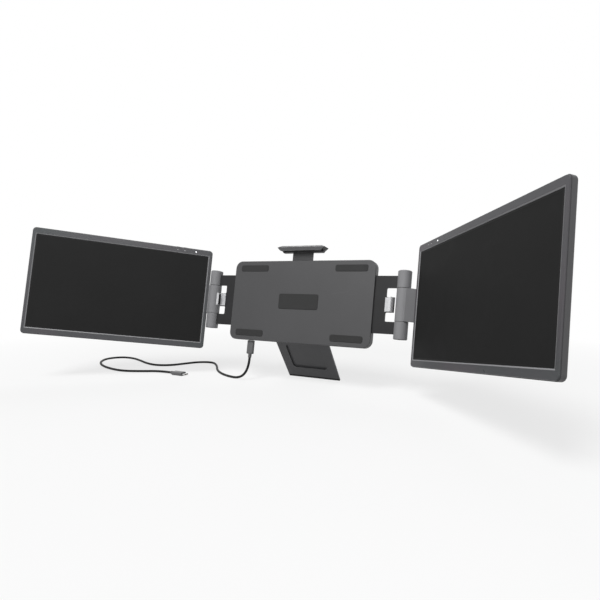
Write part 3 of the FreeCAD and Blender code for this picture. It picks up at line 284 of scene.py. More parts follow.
    def slide(self, offset: Point) -> "Workpiece":
        """Moves what is picked by an offset in metres."""
        bpy.ops.transform.translate(value=offset)
        return self.leave_edit()

    def stretch(self, share: Point, centre: Point) -> "Workpiece":
        """Stretches what is picked by a share along each axis, about a centre."""
        bpy.ops.transform.resize(value=share, center_override=centre)
        return self.leave_edit()

    def bevel(self, width: float, segments: int) -> "Workpiece":
        """Rounds the picked edges by a width in metres."""
        bpy.ops.mesh.bevel(offset=width, segments=segments, affect="EDGES")
        return self.leave_edit()

    def round_along(self, axis: str, width: float, segments: int) -> "Workpiece":
        """Rounds the edges that run along an axis.

        Args:
            axis: x, y or z.
            width: Width of the rounding in millimetres.
            segments: Number of steps across it.

        Returns:
            The same workpiece.
        """

        def runs_along(start: Vector, end: Vector) -> bool:
            """Tells if an edge runs along the axis more than across it."""
            return abs(getattr(end - start, axis)) > (end - start).length / 2

        return self.pick_edges(runs_along).bevel(width * MM, segments)

    def round_level(self, level: float, width: float, segments: int) -> "Workpiece":
        """Rounds the edges that lie at one height.

        Args:
            level: The height in millimetres.
            width: Width of the rounding in millimetres.
            segments: Number of steps across it.

        Returns:
            The same workpiece.
        """

        def lies_there(*ends: Vector) -> bool:
            """Tells if both ends of an edge lie at the height."""
            return all(abs(end.z - level * MM) < self.TOUCH for end in ends)

        return self.pick_edges(lies_there).bevel(width * MM, segments)

    def inset(self, width: float) -> "Workpiece":
        """Insets the picked faces by a width in metres."""
        bpy.ops.mesh.inset(thickness=width)
        return self.leave_edit()

    def open_through(self) -> "Workpiece":
        """Removes the picked pair of faces and bridges their rims.

        Returns:
            The same workpiece.
        """
        bpy.ops.mesh.delete(type="FACE")
        bpy.ops.mesh.select_mode(type="EDGE")
        bpy.ops.mesh.select_non_manifold()
        bpy.ops.mesh.bridge_edge_loops()
        return self.face_outwards()

    def apply(self, kind: str, **settings: object) -> "Workpiece":
        """Adds a modifier with its settings and applies it.

        Args:
            kind: The modifier's type.
            **settings: Its properties.

        Returns:
            The same workpiece.
        """
        select_only(self.obj)
        modifier = self.obj.modifiers.new(kind.title(), kind)
        for label, value in settings.items():
            setattr(modifier, label, value)
        bpy.ops.object.modifier_apply(modifier=modifier.name)
        return self

    def combine(self, other: "Workpiece", operation: str) -> "Workpiece":
        """Unites with another workpiece or is cut by it, and uses it up.

        Args:
            other: The second workpiece.
            operation: UNION or DIFFERENCE.

        Returns:
            The same workpiece.
        """
        self.apply("BOOLEAN", operation=operation, object=other.obj, solver="EXACT")
        bpy.data.objects.remove(other.obj)
        return self

    def soften(self, width: float, segments: int = 2) -> "Workpiece":
        """Breaks every sharp edge, as a mould or a tumbler does, and smooths what is round.

        Args:
            width: Width of the broken edge in metres.
            segments: Number of steps across it.

        Returns:
            The same workpiece.
        """
        if width > 0:
            self.apply(
                "BEVEL",
                width=width,
                segments=segments,
                limit_method="ANGLE",
                angle_limit=self.SHARP,
                use_clamp_overlap=True,
                miter_outer="MITER_ARC",
            )
        bpy.ops.object.shade_smooth_by_angle(angle=self.ROUND)
        return self.apply("WEIGHTED_NORMAL", keep_sharp=True, weight=100)


class NodeBench:
    """A shader node tree under work: nodes are added to it, set up and wired."""

    def __init__(self, tree: bpy.types.NodeTree) -> None:
        """Takes a tree in hand."""
        self.tree = tree

    @classmethod
    def emptied(cls, owner: bpy.types.Material | bpy.types.World) -> "NodeBench":
        """Starts on the emptied tree of a material or a world.

        Args:
            owner: The material or world.

        Returns:
            Its tree, in hand.
        """
        owner.use_nodes = True
        owner.node_tree.nodes.clear()
        return cls(owner.node_tree)

    @classmethod
    def group(cls, name: str, inputs: tuple[str, ...], outputs: tuple[str, ...]) -> "NodeBench":
        """Starts a group that takes a vector and numbers, and gives numbers.

        Args:
            name: Name of the group.
            inputs: Names of the numbers that it takes.
            outputs: Names of the numbers that it gives.

        Returns:
            The group's tree, with its input and output nodes.
        """
        tree = bpy.data.node_groups.new(name, "ShaderNodeTree")
        tree.interface.new_socket("Vector", in_out="INPUT", socket_type="NodeSocketVector")
        for way, labels in (("INPUT", inputs), ("OUTPUT", outputs)):
            for label in labels:
                tree.interface.new_socket(label, in_out=way, socket_type="NodeSocketFloat")
        tree.nodes.new("NodeGroupInput")
        tree.nodes.new("NodeGroupOutput")
        return cls(tree)

    def given(self, label: str) -> Socket:
        """One of the values that the group takes."""
        return self.tree.nodes["Group Input"].outputs[label]

    def give(self, **results: Socket) -> bpy.types.NodeTree:
        """Wires the values that the group gives.

        Args:
            **results: The value for each of its outputs.

        Returns:
            The group's finished tree.
        """
        for label, value in results.items():
            self.tree.links.new(value, self.tree.nodes["Group Output"].inputs[label])
        return self.tree

    def add(
        self, kind: str, inputs: dict[str | int, object] | None = None, **settings: object
    ) -> bpy.types.Node:
        """Adds a node, sets it up and wires it.

        Args:
            kind: Type of the node after "ShaderNode".
            inputs: A socket or a plain value for each input.
            **settings: Properties of the node itself.

        Returns:
            The node.
        """
        node = self.tree.nodes.new(f"ShaderNode{kind}")
        for label, value in settings.items():
            setattr(node, label, value)
        for label, value in (inputs or {}).items():
            if isinstance(value, Socket):
                self.tree.links.new(value, node.inputs[label])
            else:
                node.inputs[label].default_value = value
        return node

    def math(self, operation: str, first: object, second: object) -> Socket:
        """Adds a math node and returns its value."""
        return self.add("Math", {0: first, 1: second}, operation=operation).outputs[0]

    def span(self, value: Socket, low: float, high: float) -> Socket:
        """Stretches a value from 0 to 1 over another span."""
        return self.add("MapRange", {"Value": value, "To Min": low, "To Max": high}).outputs[0]

    def contrast(self, value: Socket, start: float, end: float) -> Socket:
        """Spreads the stretch from start to end of a value over 0 to 1, and clips the rest."""
        inputs = {"Value": value, "From Min": start, "From Max": end}
        return self.add("MapRange", inputs, clamp=True).outputs[0]

    def noise(self, vector: Socket, scale: object, detail: float, **inputs: float) -> Socket:
        """Adds a noise texture and returns its value."""
        inputs |= {"Vector": vector, "Scale": scale, "Detail": detail}
        return self.add("TexNoise", inputs).outputs[0]

    def cells(self, vector: Socket, scale: object, **settings: str) -> Socket:
        """Adds a cell texture and returns its distance."""
        cells = self.add("TexVoronoi", {"Vector": vector, "Scale": scale}, **settings)
        return cells.outputs["Distance"]

    def blend(self, share: Socket, first: object, second: object) -> Socket:
        """Mixes two colours by a share and returns the result."""
        return self.add("Mix", {0: share, 6: first, 7: second}, data_type="RGBA").outputs[2]


def grain_group() -> bpy.types.NodeTree:
    """The fine stipple that a textured mould leaves, and the slow drift of its tone.

    Returns:
        The group's tree.
    """
    group = NodeBench.group("Mould grain", ("Size",), ("Height", "Drift"))
    vector = group.given("Vector")
    scale = group.math("DIVIDE", 1.0, group.given("Size"))
    stipple = group.cells(vector, scale, feature="SMOOTH_F1")
    fine = group.noise(vector, group.math("MULTIPLY", scale, 2.3), detail=3.0)
    drift = group.contrast(group.noise(vector, 9.0, detail=4.0), start=0.3, end=0.7)
    return group.give(Height=group.math("ADD", stipple, fine), Drift=drift)


def brush_group() -> bpy.types.NodeTree:
    """Fine straight lines of a brushed or drawn metal, and the slow drift of its tone.

    Returns:
        The group's tree.
    """
    group = NodeBench.group("Brushed lines", ("Size",), ("Height", "Drift"))
    mapping = group.add("Mapping", {"Vector": group.given("Vector"), "Scale": (0.04, 1.0, 1.0)})
    vector = mapping.outputs[0]
    lines = group.noise(vector, group.math("DIVIDE", 1.0, group.given("Size")), detail=4.0)
    drift = group.contrast(group.noise(vector, 60.0, detail=3.0), start=0.3, end=0.7)
    return group.give(Height=lines, Drift=drift)


def dust_group() -> bpy.types.NodeTree:
    """Dust that settles on what faces up, thinner in some places than in others.

    Returns:
        The group's tree.
    """
    group = NodeBench.group("Settled dust", ("Amount",), ("Mask",))
    normal = group.add("NewGeometry").outputs["Normal"]
    upward = group.add("SeparateXYZ", {0: normal}).outputs["Z"]
    level = group.contrast(upward, start=0.35, end=1.0)
    specks = group.noise(group.given("Vector"), 260.0, detail=5.0)
    layer = group.math("MULTIPLY", level, group.contrast(specks, start=0.4, end=0.75))
    return group.give(Mask=group.math("MULTIPLY", layer, group.given("Amount")))


def handling_group() -> bpy.types.NodeTree:
    """Soft smudges of fingers and a few hairline scuffs.

    Returns:
        The group's tree.
    """
    group = NodeBench.group("Handling", (), ("Smudge", "Scuff"))
    vector = group.given("Vector")
    smudges = group.noise(vector, 38.0, detail=2.0, Distortion=0.6)
    hairs = group.cells(vector, 55.0, feature="DISTANCE_TO_EDGE")
    few = group.contrast(group.noise(vector, 24.0, detail=1.0), start=0.6, end=0.66)
    scuffs = group.math("MULTIPLY", group.contrast(hairs, start=0.012, end=0.0), few)
    return group.give(Smudge=group.contrast(smudges, start=0.5, end=0.72), Scuff=scuffs)


def trace_group() -> bpy.types.NodeTree:
    """Copper runs under the lacquer of a circuit board.

    Returns:
        The group's tree.
    """
    group = NodeBench.group("Board traces", (), ("Mask",))
    cells = group.cells(group.given("Vector"), 340.0, distance="CHEBYCHEV", feature="F1")
    return group.give(Mask=group.contrast(cells, start=0.36, end=0.40))


GROUPS: dict[str, bpy.types.NodeTree] = {}


@dataclass(frozen=True)
class Finish:
    """The finish of one surface: its colour, gloss, grain and what has settled on it."""

    slot: str
    colour: Colour
    rough: float
    look: Look = Look.MOULDED
    rough_drift: float = 0.05
    tone_drift: float = 0.08
    warmth: float = 0.0
    grain: float = 0.35 * MM
    depth: float = 0.012 * MM
    metal: float = 0.0
    specular: float = 0.5
    coat: float = 0.0
    dust: float = 0.05
    scuffs: float = 0.12
    glow: float = 0.0
    # The colours of dust and of a lit lens.
    DUST: ClassVar[tuple[float, ...]] = (0.42, 0.41, 0.39, 1.0)
    LIT: ClassVar[tuple[float, ...]] = (0.95, 0.97, 1.0, 1.0)

    # How much paler than the colour a scuff and a copper run are.
    SCUFFED: ClassVar[float] = 1.2
    COPPER: ClassVar[float] = 0.8

    def toned(self, share: float) -> tuple[float, float, float, float]:
        """The colour made lighter or darker by a share of itself, and warmer or cooler.

        Args:
            share: How much lighter, or darker where it is below 0.

        Returns:
            The colour with its opacity.
        """
        red, green, blue = self.colour
        lean = share * self.warmth
        return (red * (1 + share + lean), green * (1 + share - lean / 2), blue * (1 + share), 1.0)

    def make(self) -> bpy.types.Material:
        """Builds the material's nodes.

        Returns:
            The material, named after its slot.
        """
        material = bpy.data.materials.new(self.slot)
        bench = NodeBench.emptied(material)
        vector = bench.add("TexCoord").outputs["Object"]

        def shared(group: str, **inputs: float) -> bpy.types.bpy_prop_collection:
            """Adds one of the shared groups and returns its outputs."""
            wires = {"Vector": vector, **inputs}
            return bench.add("Group", wires, node_tree=GROUPS[group]).outputs

        grain = shared("brush" if self.look is Look.BRUSHED else "grain", Size=self.grain)
        handling = shared("handling")
        drift = grain["Drift"]
        colour = bench.blend(drift, self.toned(-self.tone_drift), self.toned(self.tone_drift))
        if self.look is Look.BOARD:
            colour = bench.blend(shared("trace")["Mask"], colour, self.toned(self.COPPER))
        worn = bench.math("MULTIPLY", handling["Scuff"], self.scuffs)
        colour = bench.blend(worn, colour, self.toned(self.SCUFFED))
        colour = bench.blend(shared("dust", Amount=self.dust)["Mask"], colour, self.DUST)
        rough = bench.span(drift, self.rough - self.rough_drift, self.rough + self.rough_drift)
        smudge = bench.span(handling["Smudge"], 0.0, -self.rough_drift)
        relief = {"Height": grain["Height"], "Distance": self.depth, "Strength": 0.6}
        inputs = {
            "Base Color": colour,
            "Roughness": bench.math("ADD", rough, smudge),
            "Metallic": self.metal,
            "Normal": bench.add("Bump", relief).outputs[0],
            "Specular IOR Level": self.specular,
            "Coat Weight": self.coat,
            "Coat Roughness": 0.25,
        }
        if self.glow > 0:
            inputs |= {"Emission Color": self.LIT, "Emission Strength": self.glow}
        shader = bench.add("BsdfPrincipled", inputs)
        bench.add("OutputMaterial", {"Surface": shader.outputs[0]})
        return material


def grey(level: float, blue: float = 1.0) -> Colour:
    """A neutral grey, with its blue part lifted or lowered."""
    return (level, level, level * blue)


FINISHES = (
    Finish("front_cover", grey(0.040, 1.04), 0.55),
    Finish("back_cover", grey(0.046, 1.04), 0.46),
    Finish("silicone", grey(0.022), 0.78, grain=0.2 * MM, dust=0.12, specular=0.3),
    Finish("rail", grey(0.55, 0.95), 0.45, grain=0.3 * MM),
    Finish("board", (0.015, 0.10, 0.045), 0.35, look=Look.BOARD, coat=0.4),
    Finish("port_metal", grey(0.62), 0.28, look=Look.BRUSHED, metal=1.0, grain=0.1 * MM, dust=0.0),
    Finish("screw", grey(0.035), 0.36, metal=0.9, grain=0.12 * MM),
    Finish("steel", grey(0.55), 0.26, look=Look.BRUSHED, metal=1.0, grain=0.08 * MM),
    Finish("cable", grey(0.007), 0.66, grain=0.25 * MM, specular=0.25, dust=0.03),
    Finish("plug_grip", grey(0.085, 1.02), 0.40, grain=0.15 * MM, dust=0.1),
    Finish("clip", grey(0.060, 1.03), 0.42, specular=0.3, grain=0.18 * MM),
    Finish("clip_bar", grey(0.040, 1.03), 0.40, look=Look.BRUSHED, metal=0.4),
    Finish("arm", grey(0.014, 1.05), 0.48, look=Look.BRUSHED, specular=0.25, grain=0.2 * MM),
    Finish("barrel", grey(0.195, 1.03), 0.44, grain=0.15 * MM, specular=0.2, dust=0.02),
    # Washers and slide shoes: much darker than their pale acetal. This is painted shade, so the
    # sunk gaps between the knuckles read as dark lines.
    Finish("washer", grey(0.030, 0.9), 0.55, grain=0.2 * MM, dust=0.0),
    Finish("hook", grey(0.52, 1.02), 0.34, metal=0.2, grain=0.2 * MM),
    Finish("shell", grey(0.046, 1.04), 0.40),
    # The chamfer strip is far paler than the bezel: a painted highlight for the bright bevel lines
    # round the picture. The lamps then light it or leave it dark by the way each side faces.
    Finish("chamfer", grey(0.20, 1.03), 0.50, specular=0.2, grain=0.2 * MM, dust=0.0, scuffs=0.0),
    Finish(
        "bezel", grey(0.070, 1.06), 0.32, specular=0.2, grain=0.28 * MM, depth=0.008 * MM,
        warmth=0.9, scuffs=0.0,
    ),
    Finish("glass", grey(0.016), 0.62, grain=0.09 * MM, specular=0.05, dust=0.0, scuffs=0.03),
    Finish("backlight", grey(0.60), 0.30, look=Look.BRUSHED, metal=1.0),
    Finish("light", grey(0.85), 0.25, glow=1.8, dust=0.0, scuffs=0.0),
    Finish("key", grey(0.045), 0.44, grain=0.2 * MM),
    Finish("stand", grey(0.055, 1.05), 0.42, look=Look.BRUSHED, metal=0.3, grain=0.2 * MM),
    Finish("picture_border", grey(0.012), 0.50, grain=0.09 * MM, specular=0.1, dust=0.0),
    Finish("printed_mark", grey(0.42), 0.50, grain=0.09 * MM, dust=0.0, scuffs=0.0),
    Finish("contact", (0.75, 0.52, 0.18), 0.25, look=Look.BRUSHED, metal=1.0, dust=0.0),
    Finish("plug_tongue", grey(0.02), 0.4, dust=0.0),
)

MATERIALS: dict[str, bpy.types.Material] = {}


def prepare_finishes() -> None:
    """Builds the shared node groups and every material once."""
    GROUPS.update(grain=grain_group(), brush=brush_group(), dust=dust_group())
    GROUPS.update(handling=handling_group(), trace=trace_group())
    for finish in FINISHES:
        MATERIALS[finish.slot] = finish.make()


def hand_over(
    piece: Workpiece,
    body: str,
    finish: str,
    replaced: tuple[str, ...] = (),
) -> bpy.types.Object:
    """Gives a finished piece its material and its place in the frame.

    Args:
        piece: The finished piece, its place in its mesh.
        body: The body that it rides on.
        finish: Name of its material.
        replaced: The nodes that it stands for.

    Returns:
        The piece's object.
    """
    obj = piece.obj
    obj.data.materials.clear()
    obj.data.materials.append(MATERIALS[finish])
    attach(obj, body)
    if replaced:
        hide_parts(*replaced)
    LOG.info("%s rides on %s in %s", obj.name, body, finish)
    return obj


def dress_node(node: str, finish: str) -> None:
    """Gives a node that stays as it is its material.

    Args:
        node: Name of the node.
        finish: Name of its material.
    """
    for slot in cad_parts[node].material_slots:
        slot.material = MATERIALS[finish]
    LOG.info("%s stays, in %s", node, finish)


def soften_node(node: str, body: str, finish: str, width: float, segments: int = 2) -> None:
    """Replaces a node by a copy with its edges broken, as the real piece has them.

    Args:
        node: Name of the node.
        body: The body that it rides on.
        finish: Name of its material.
        width: Width of a broken edge in millimetres.
        segments: Number of steps across it.
    """
    piece = Workpiece.copy_of(node).soften(width * MM, segments)
    hand_over(piece, body, finish, (node,))


def upright_copy(node: str, placement: Matrix = LEANING) -> Workpiece:
    """Copies a node and stands it upright, to be worked along the axes."""
    return Workpiece.copy_of(node).moved(placement.inverted())


@dataclass(frozen=True)
class VentRow:
    """A row of narrow rounded slots, sunk into a wall that faces +Y."""

    count: int
    pitch: float
    size: tuple[float, float]
    sink: float = 0.7
    along_x: bool = True

    def cut(self, wall: Workpiece, middle: Point) -> Workpiece:
        """Cuts the row into a wall.

        Args:
            wall: The piece that is cut.
            middle: Middle of the row on the wall's outer face, in millimetres.

        Returns:
            The wall with its slots.
        """
        wide, tall = self.size
        across, deep, up = middle
        step = (self.pitch, 0, 0) if self.along_x else (0, 0, self.pitch)
        before = (self.count - 1) / 2
        first = (across - step[0] * before, deep, up - step[2] * before)
        slot = Workpiece.block("slot_cutter", metres(*first), metres(wide, self.sink * 2, tall))
        slot.round_along("y", min(wide, tall) * 0.49, 4)
        slot.apply(
            "ARRAY",
            count=self.count,
            use_relative_offset=False,
            use_constant_offset=True,
            constant_offset_displace=metres(*step),
        )
        return wall.combine(slot, "DIFFERENCE")


@dataclass(frozen=True)
class HexScrew:
    """A pan-head screw with a hexagon socket, drawn with its shank down Z."""

    head_radius: float
    head_thick: float
    shank_radius: float
    shank_long: float
    socket_radius: float
    socket_deep: float
    sides: int = 40

    def model(self) -> Workpiece:
        """Turns the screw and cuts its socket.

        Returns:
            The screw, its head's seat at the origin.
        """
        rim = self.head_thick * 0.35
        screw = Workpiece.turned(
            "screw",
            [
                (-self.shank_long, self.shank_radius * 0.7),
                (-self.shank_long + self.shank_radius * 0.3, self.shank_radius),
                (0.0, self.shank_radius),
                (0.0, self.head_radius),
                (self.head_thick - rim, self.head_radius),
                (self.head_thick - rim * 0.3, self.head_radius - rim * 0.35),
                (self.head_thick, self.head_radius - rim),
            ],
            self.sides,
        )
        low = self.head_thick - self.socket_deep
        socket = Workpiece.turned(
            "socket_cutter",
            [(low, self.socket_radius), (self.head_thick + 1.0, self.socket_radius)],
            6,
        )
        return screw.combine(socket, "DIFFERENCE").soften(0.03 * MM, 1)
    def row(self, name: str, places: list[Matrix]) -> Workpiece:
        """Makes one object of a screw in each of several places."""
        return Workpiece.joined(name, [self.model().moved(place) for place in places])


@dataclass
class SideAssembly:
    """What the arm and the monitor of one side have in common."""

    side: Side
    BODY: ClassVar[str] = ""

    # The hinge axis: its distance from the middle and its depth, in millimetres.
    AXIS_OUT: ClassVar[float] = 168.0
    AXIS_DEEP: ClassVar[float] = 5.3

    @property
    def body(self) -> str:
        """The body that it rides on."""
        return self.node(self.BODY)

    @property
    def hinge(self) -> Matrix:
        """From upright axes at the hinge to the model's."""
        return LEANING @ shift(self.side.value * self.AXIS_OUT, self.AXIS_DEEP, 0)

    def node(self, piece: str) -> str:
        """Full name of one of the side's nodes or bodies."""
        return f"{self.side.label}_{piece}"

    def soften(self, piece: str, finish: str, width: float) -> None:
        """Replaces one of its nodes by a copy with broken edges, so many millimetres wide."""
        soften_node(self.node(piece), self.body, finish, width)

    def dress(self, **finishes: str) -> None:
        """Gives the nodes that stay as they are their materials."""
        for piece, finish in finishes.items():
            dress_node(self.node(piece), finish)


@dataclass
class Monitor(SideAssembly):
    """One monitor: shell, bezel, screen, marks, keys and its leaf of the hinge."""

    BODY: ClassVar[str] = "screen"
    yaw: float
    light_at: float
    marks_at: tuple[float, float]
    inner_edge: float = 11.5
    wide: float = 277.0
    tall: float = 171.1
    front: float = 13.0
    glass_front: float = 14.0
    opening_wide: float = 264.5
    opening_tall: float = 150.0
    opening_bevel: float = 0.8
    wide_bevel: float = 1.5
    rim_low: float = 13.35
    rim_groove: float = 0.4
    back: float = 22.3
    panel_inset: float = 11.0
    panel_sink: float = 0.3
    panel_corner: float = 5.0
    border: float = 2.1
    slack: float = 0.04
    strip_thick: float = 0.06
    chamfer_trim: float = 0.1
    mark_high: float = 80.0
    mark_size: tuple[float, float, float] = (1.9, 0.05, 0.9)
    lens_radius: float = 0.9
    leaf_thick: float = 2.0
    screw_depth: float = 5.6
    screw_heights: tuple[float, ...] = (-17.0, 0.0, 17.0)
    screw: HexScrew = HexScrew(
        head_radius=1.9, head_thick=0.9, shank_radius=1.1, shank_long=5.6,
        socket_radius=0.85, socket_deep=0.6, sides=28,
    )

    # The rows of vents in the back, each with its height.
    vents: tuple[tuple[VentRow, float], ...] = (
        (VentRow(count=31, pitch=2.6, size=(1.1, 9.0)), 58.0),
        (VentRow(count=17, pitch=2.6, size=(1.1, 4.0)), -64.0),
    )

    @property
    def placement(self) -> Matrix:
        """From the monitor's own upright axes, about its hinge, to the model's."""
        return self.hinge @ turn(-self.side.value * self.yaw, "Z")

    @property
    def middle(self) -> float:
        """X of the monitor's middle in its own axes, in millimetres."""
        return self.along(self.wide / 2)

    def along(self, distance: float) -> float:
        """X of a place that far along the monitor from its inner edge, in millimetres."""
        return self.side.value * (self.inner_edge + distance)

    def within(self, point: Vector, half_wide: float, half_tall: float) -> bool:
        """Tells if a point is less than so many millimetres from the monitor's middle."""
        across = abs(point.x - self.middle * MM)
        return across < half_wide * MM and abs(point.z) < half_tall * MM

    def build(self) -> None:
        """Makes and dresses the whole monitor."""
        self.rear_shell()
        self.bezel()
        self.soften("hinge_leaf", "barrel", 0.2)
        self.dress(screen_glass="glass", backlight_unit="backlight")
        self.dress(driver_board="board", status_light="light")
        self.picture_border()
        self.painted_highlight_chamfer()
        self.status_lens()
        self.printed_marks()
        self.leaf_screws()
        for key in ("power_key", "menu_key"):
            soften_node(self.node(key), self.node(key), "key", 0.12)

    def rear_shell(self) -> None:
        """The rear shell: a shallow sunk panel and two rows of vents in its back."""
        node = self.node("rear_shell")
        piece = upright_copy(node, self.placement)
        margin = 2 * self.panel_inset
        panel = Workpiece.block(
            "panel_cutter",
            metres(self.middle, self.back, 0.0),
            metres(self.wide - margin, 2 * self.panel_sink, self.tall - margin),
        )
        piece.combine(panel.round_along("y", self.panel_corner, 6), "DIFFERENCE")
        for row, height in self.vents:
            row.cut(piece, (self.middle, self.back - self.panel_sink, height))
        piece.soften(0.2 * MM).moved(self.placement)
        hand_over(piece, self.body, "shell", (node,))

    def bezel(self) -> None:
        """The bezel: a wide bevel round the picture, which the chamfer strip with its painted
        highlight covers, and a shadow line at its rim.
        """
        node = self.node("bezel")
        piece = upright_copy(node, self.placement)
        half_wide, half_tall = self.opening_wide / 2, self.opening_tall / 2
        reach = self.opening_bevel + 0.4

        def opening_edge(point: Vector) -> bool:
            """Tells the front edge of the bevel round the picture."""
            inside = self.within(point, half_wide + reach, half_tall + reach)
            return inside and point.y < (self.front + 0.1) * MM

        def rim_edge(point: Vector) -> bool:
            """Tells the low edge of the chamfer at the outer rim."""
            return abs(point.y - self.rim_low * MM) < 0.12 * MM

        share = (
            (half_wide + self.wide_bevel) / (half_wide + self.opening_bevel),
            1.0,
            (half_tall + self.wide_bevel) / (half_tall + self.opening_bevel),
        )
        piece.pick_points(opening_edge).stretch(share, metres(self.middle, self.front, 0.0))
        piece.pick_points(rim_edge).slide(metres(0, self.rim_groove, 0))
        piece.soften(0.12 * MM).moved(self.placement)
        hand_over(piece, self.body, "bezel", (node,))

    def frame_strip(
        self, piece: str, wide: float, tall: float, width: float, depth: float
    ) -> Workpiece:
        """Makes a thin flat strip that runs round the picture.

        Args:
            piece: Name of the piece.
            wide: Outer width of the frame that it makes, in millimetres.
            tall: Outer height of that frame.
            width: Width of the strip.
            depth: Where the middle of its thickness lies along Y.

        Returns:
            The strip, upright in the monitor's own place.
        """
        centre = metres(self.middle, depth, 0.0)
        strip = Workpiece.block(self.node(piece), centre, metres(wide, self.strip_thick, tall))
        strip.pick_faces(lambda _, normal: abs(normal.y) > 0.9).inset(width * MM)
        near = (wide / 2 - width * 0.9, tall / 2 - width * 0.9)
        strip.pick_faces(lambda at, normal: abs(normal.y) > 0.9 and self.within(at, *near))
        return strip.open_through()

    def picture_border(self) -> None:
        """The black printed border inside the bezel, open over the picture."""
        strip = self.frame_strip(
            "picture_border",
            self.opening_wide - self.slack,
            self.opening_tall - self.slack,
            self.border,
            self.glass_front - self.strip_thick / 2,
        )
        hand_over(strip.moved(self.placement), self.body, "picture_border")

    def painted_highlight_chamfer(self) -> None:
        """The chamfer strip round the picture, pale as a painted highlight, so that the sides
        facing up light up as bright lines.
        """
        top = self.wide_bevel - self.chamfer_trim
        slope = self.opening_bevel / self.wide_bevel
        strip = self.frame_strip(
            "bezel_chamfer_painted_highlight",
            self.opening_wide + 2 * top,
            self.opening_tall + 2 * top,
            top - self.chamfer_trim,
            self.front + self.chamfer_trim * slope,
        )
        foot = self.chamfer_trim * 2
        near = (self.opening_wide / 2 + foot, self.opening_tall / 2 + foot)
        sink = (top - self.chamfer_trim) * slope
        strip.pick_points(lambda point: self.within(point, *near)).slide(metres(0, sink, 0))
        hand_over(strip.moved(self.placement), self.body, "chamfer")

    def status_lens(self) -> None:
        """The small domed lens in front of the status light."""
        radius = self.lens_radius
        dome = [(-0.4, radius * 0.9), (0.0, radius)]
        for step in range(1, 6):
            angle = step * math.pi / 12
            dome.append((radius * 0.42 * math.sin(angle), radius * math.cos(angle)))
        piece = Workpiece.turned(self.node("status_lens"), dome, 24)
        place = shift(self.along(self.light_at), self.front, self.mark_high)
        piece.moved(place @ turn(90, "X")).moved(self.placement).soften(0.0)
        hand_over(piece, self.body, "light")

    def printed_marks(self) -> None:
        """The two short marks on the bezel that show where the keys are."""
        _, thick, tall = self.mark_size
        marks = []
        for place in self.marks_at:
            centre = metres(self.along(place), self.front - thick * 0.3, self.mark_high)
            mark = Workpiece.block("mark", centre, metres(*self.mark_size))
            marks.append(mark.round_along("y", tall * 0.45, 4))
        both = Workpiece.joined(self.node("key_marks"), marks).moved(self.placement)
        hand_over(both, self.body, "printed_mark")

    def leaf_screws(self) -> None:
        """Three screws through the hinge leaf into the monitor's edge."""
        seat = self.side.value * (self.inner_edge - self.leaf_thick)
        outwards = turn(-90 * self.side.value, "Y")
        depth = self.front + self.screw_depth
        places = [shift(seat, depth, height) @ outwards for height in self.screw_heights]
        screws = self.screw.row(self.node("leaf_screws_finished"), places)
        screws.moved(self.placement)
        hand_over(screws, self.body, "screw", (self.node("leaf_screws"),))


@dataclass
class Arm(SideAssembly):
    """One sliding arm: plate, knuckles, shaft, washers, caps, hook and pad."""

    BODY: ClassVar[str] = "arm"
    barrel_half: float = 49.0
    cap_radius: float = 8.4
    cap_low: float = 1.5
    cap_high: float = 0.1
    lip_end: float = 149.3
    lip_trim: float = 0.8
    lip_corner: float = 3.0
    lip_front: float = 3.0

    def build(self) -> None:
        """Makes and dresses the whole arm."""
        self.soften("arm_plate", "arm", 0.25)
        self.soften("upper_knuckle", "barrel", 0.12)
        self.soften("lower_knuckle", "barrel", 0.12)
        self.side_hook()
        self.soften("side_pad", "silicone", 0.2)
        self.dress(hinge_shaft="steel", hinge_washers="washer")
        self.dress(tension_nut="steel", slide_shoes="washer")
        self.knuckle_caps()

    def side_hook(self) -> None:
        """The side hook, its lip shorter and rounded at its two inner corners."""
        node = self.node("side_hook")
        piece = upright_copy(node)

        def lip_end(point: Vector) -> bool:
            """Tells the end of the lip in front."""
            return point.y < -self.lip_front * MM and abs(point.x) < self.lip_end * MM

        def lip_corner(start: Vector, end: Vector) -> bool:
            """Tells the two corner edges of the lip's end.

            Args:
                start: One end of an edge.
                end: Its other end.

            Returns:
                True for those two edges.
            """
            inner = max(abs(start.x), abs(end.x)) < (self.lip_end + self.lip_trim) * MM
            front = max(start.y, end.y) < -self.lip_front * MM
            return inner and front and abs(start.y - end.y) > 1 * MM

        piece.pick_points(lip_end).slide(metres(self.side.value * self.lip_trim, 0, 0))
        piece.pick_edges(lip_corner).bevel(self.lip_corner * MM, 5)
        piece.soften(0.3 * MM, 3).moved(LEANING)
        hand_over(piece, self.body, "hook", (node,))

    def knuckle_caps(self) -> None:
        """The dished caps that close the two ends of the hinge barrel."""
        radius = self.cap_radius
        low = self.barrel_half - self.cap_low
        high = self.barrel_half - self.cap_high
        stations = [
            (low, radius),
            (high - 0.3, radius),
            (high - 0.08, radius - 0.1),
            (high, radius - 0.35),
            (high, radius - 1.3),
            (high - 0.1, radius - 1.45),
            (high - 0.45, radius - 1.7),
            (high - 0.5, radius - 2.0),
        ]
        caps = []
        for degrees in (0, 180):
            cap = Workpiece.turned("cap", stations, 56)
            caps.append(cap.moved(turn(degrees, "X")).soften(0.0))
        both = Workpiece.joined(self.node("knuckle_caps_finished"), caps).moved(self.hinge)
        hand_over(both, self.body, "barrel", (self.node("knuckle_caps"),))


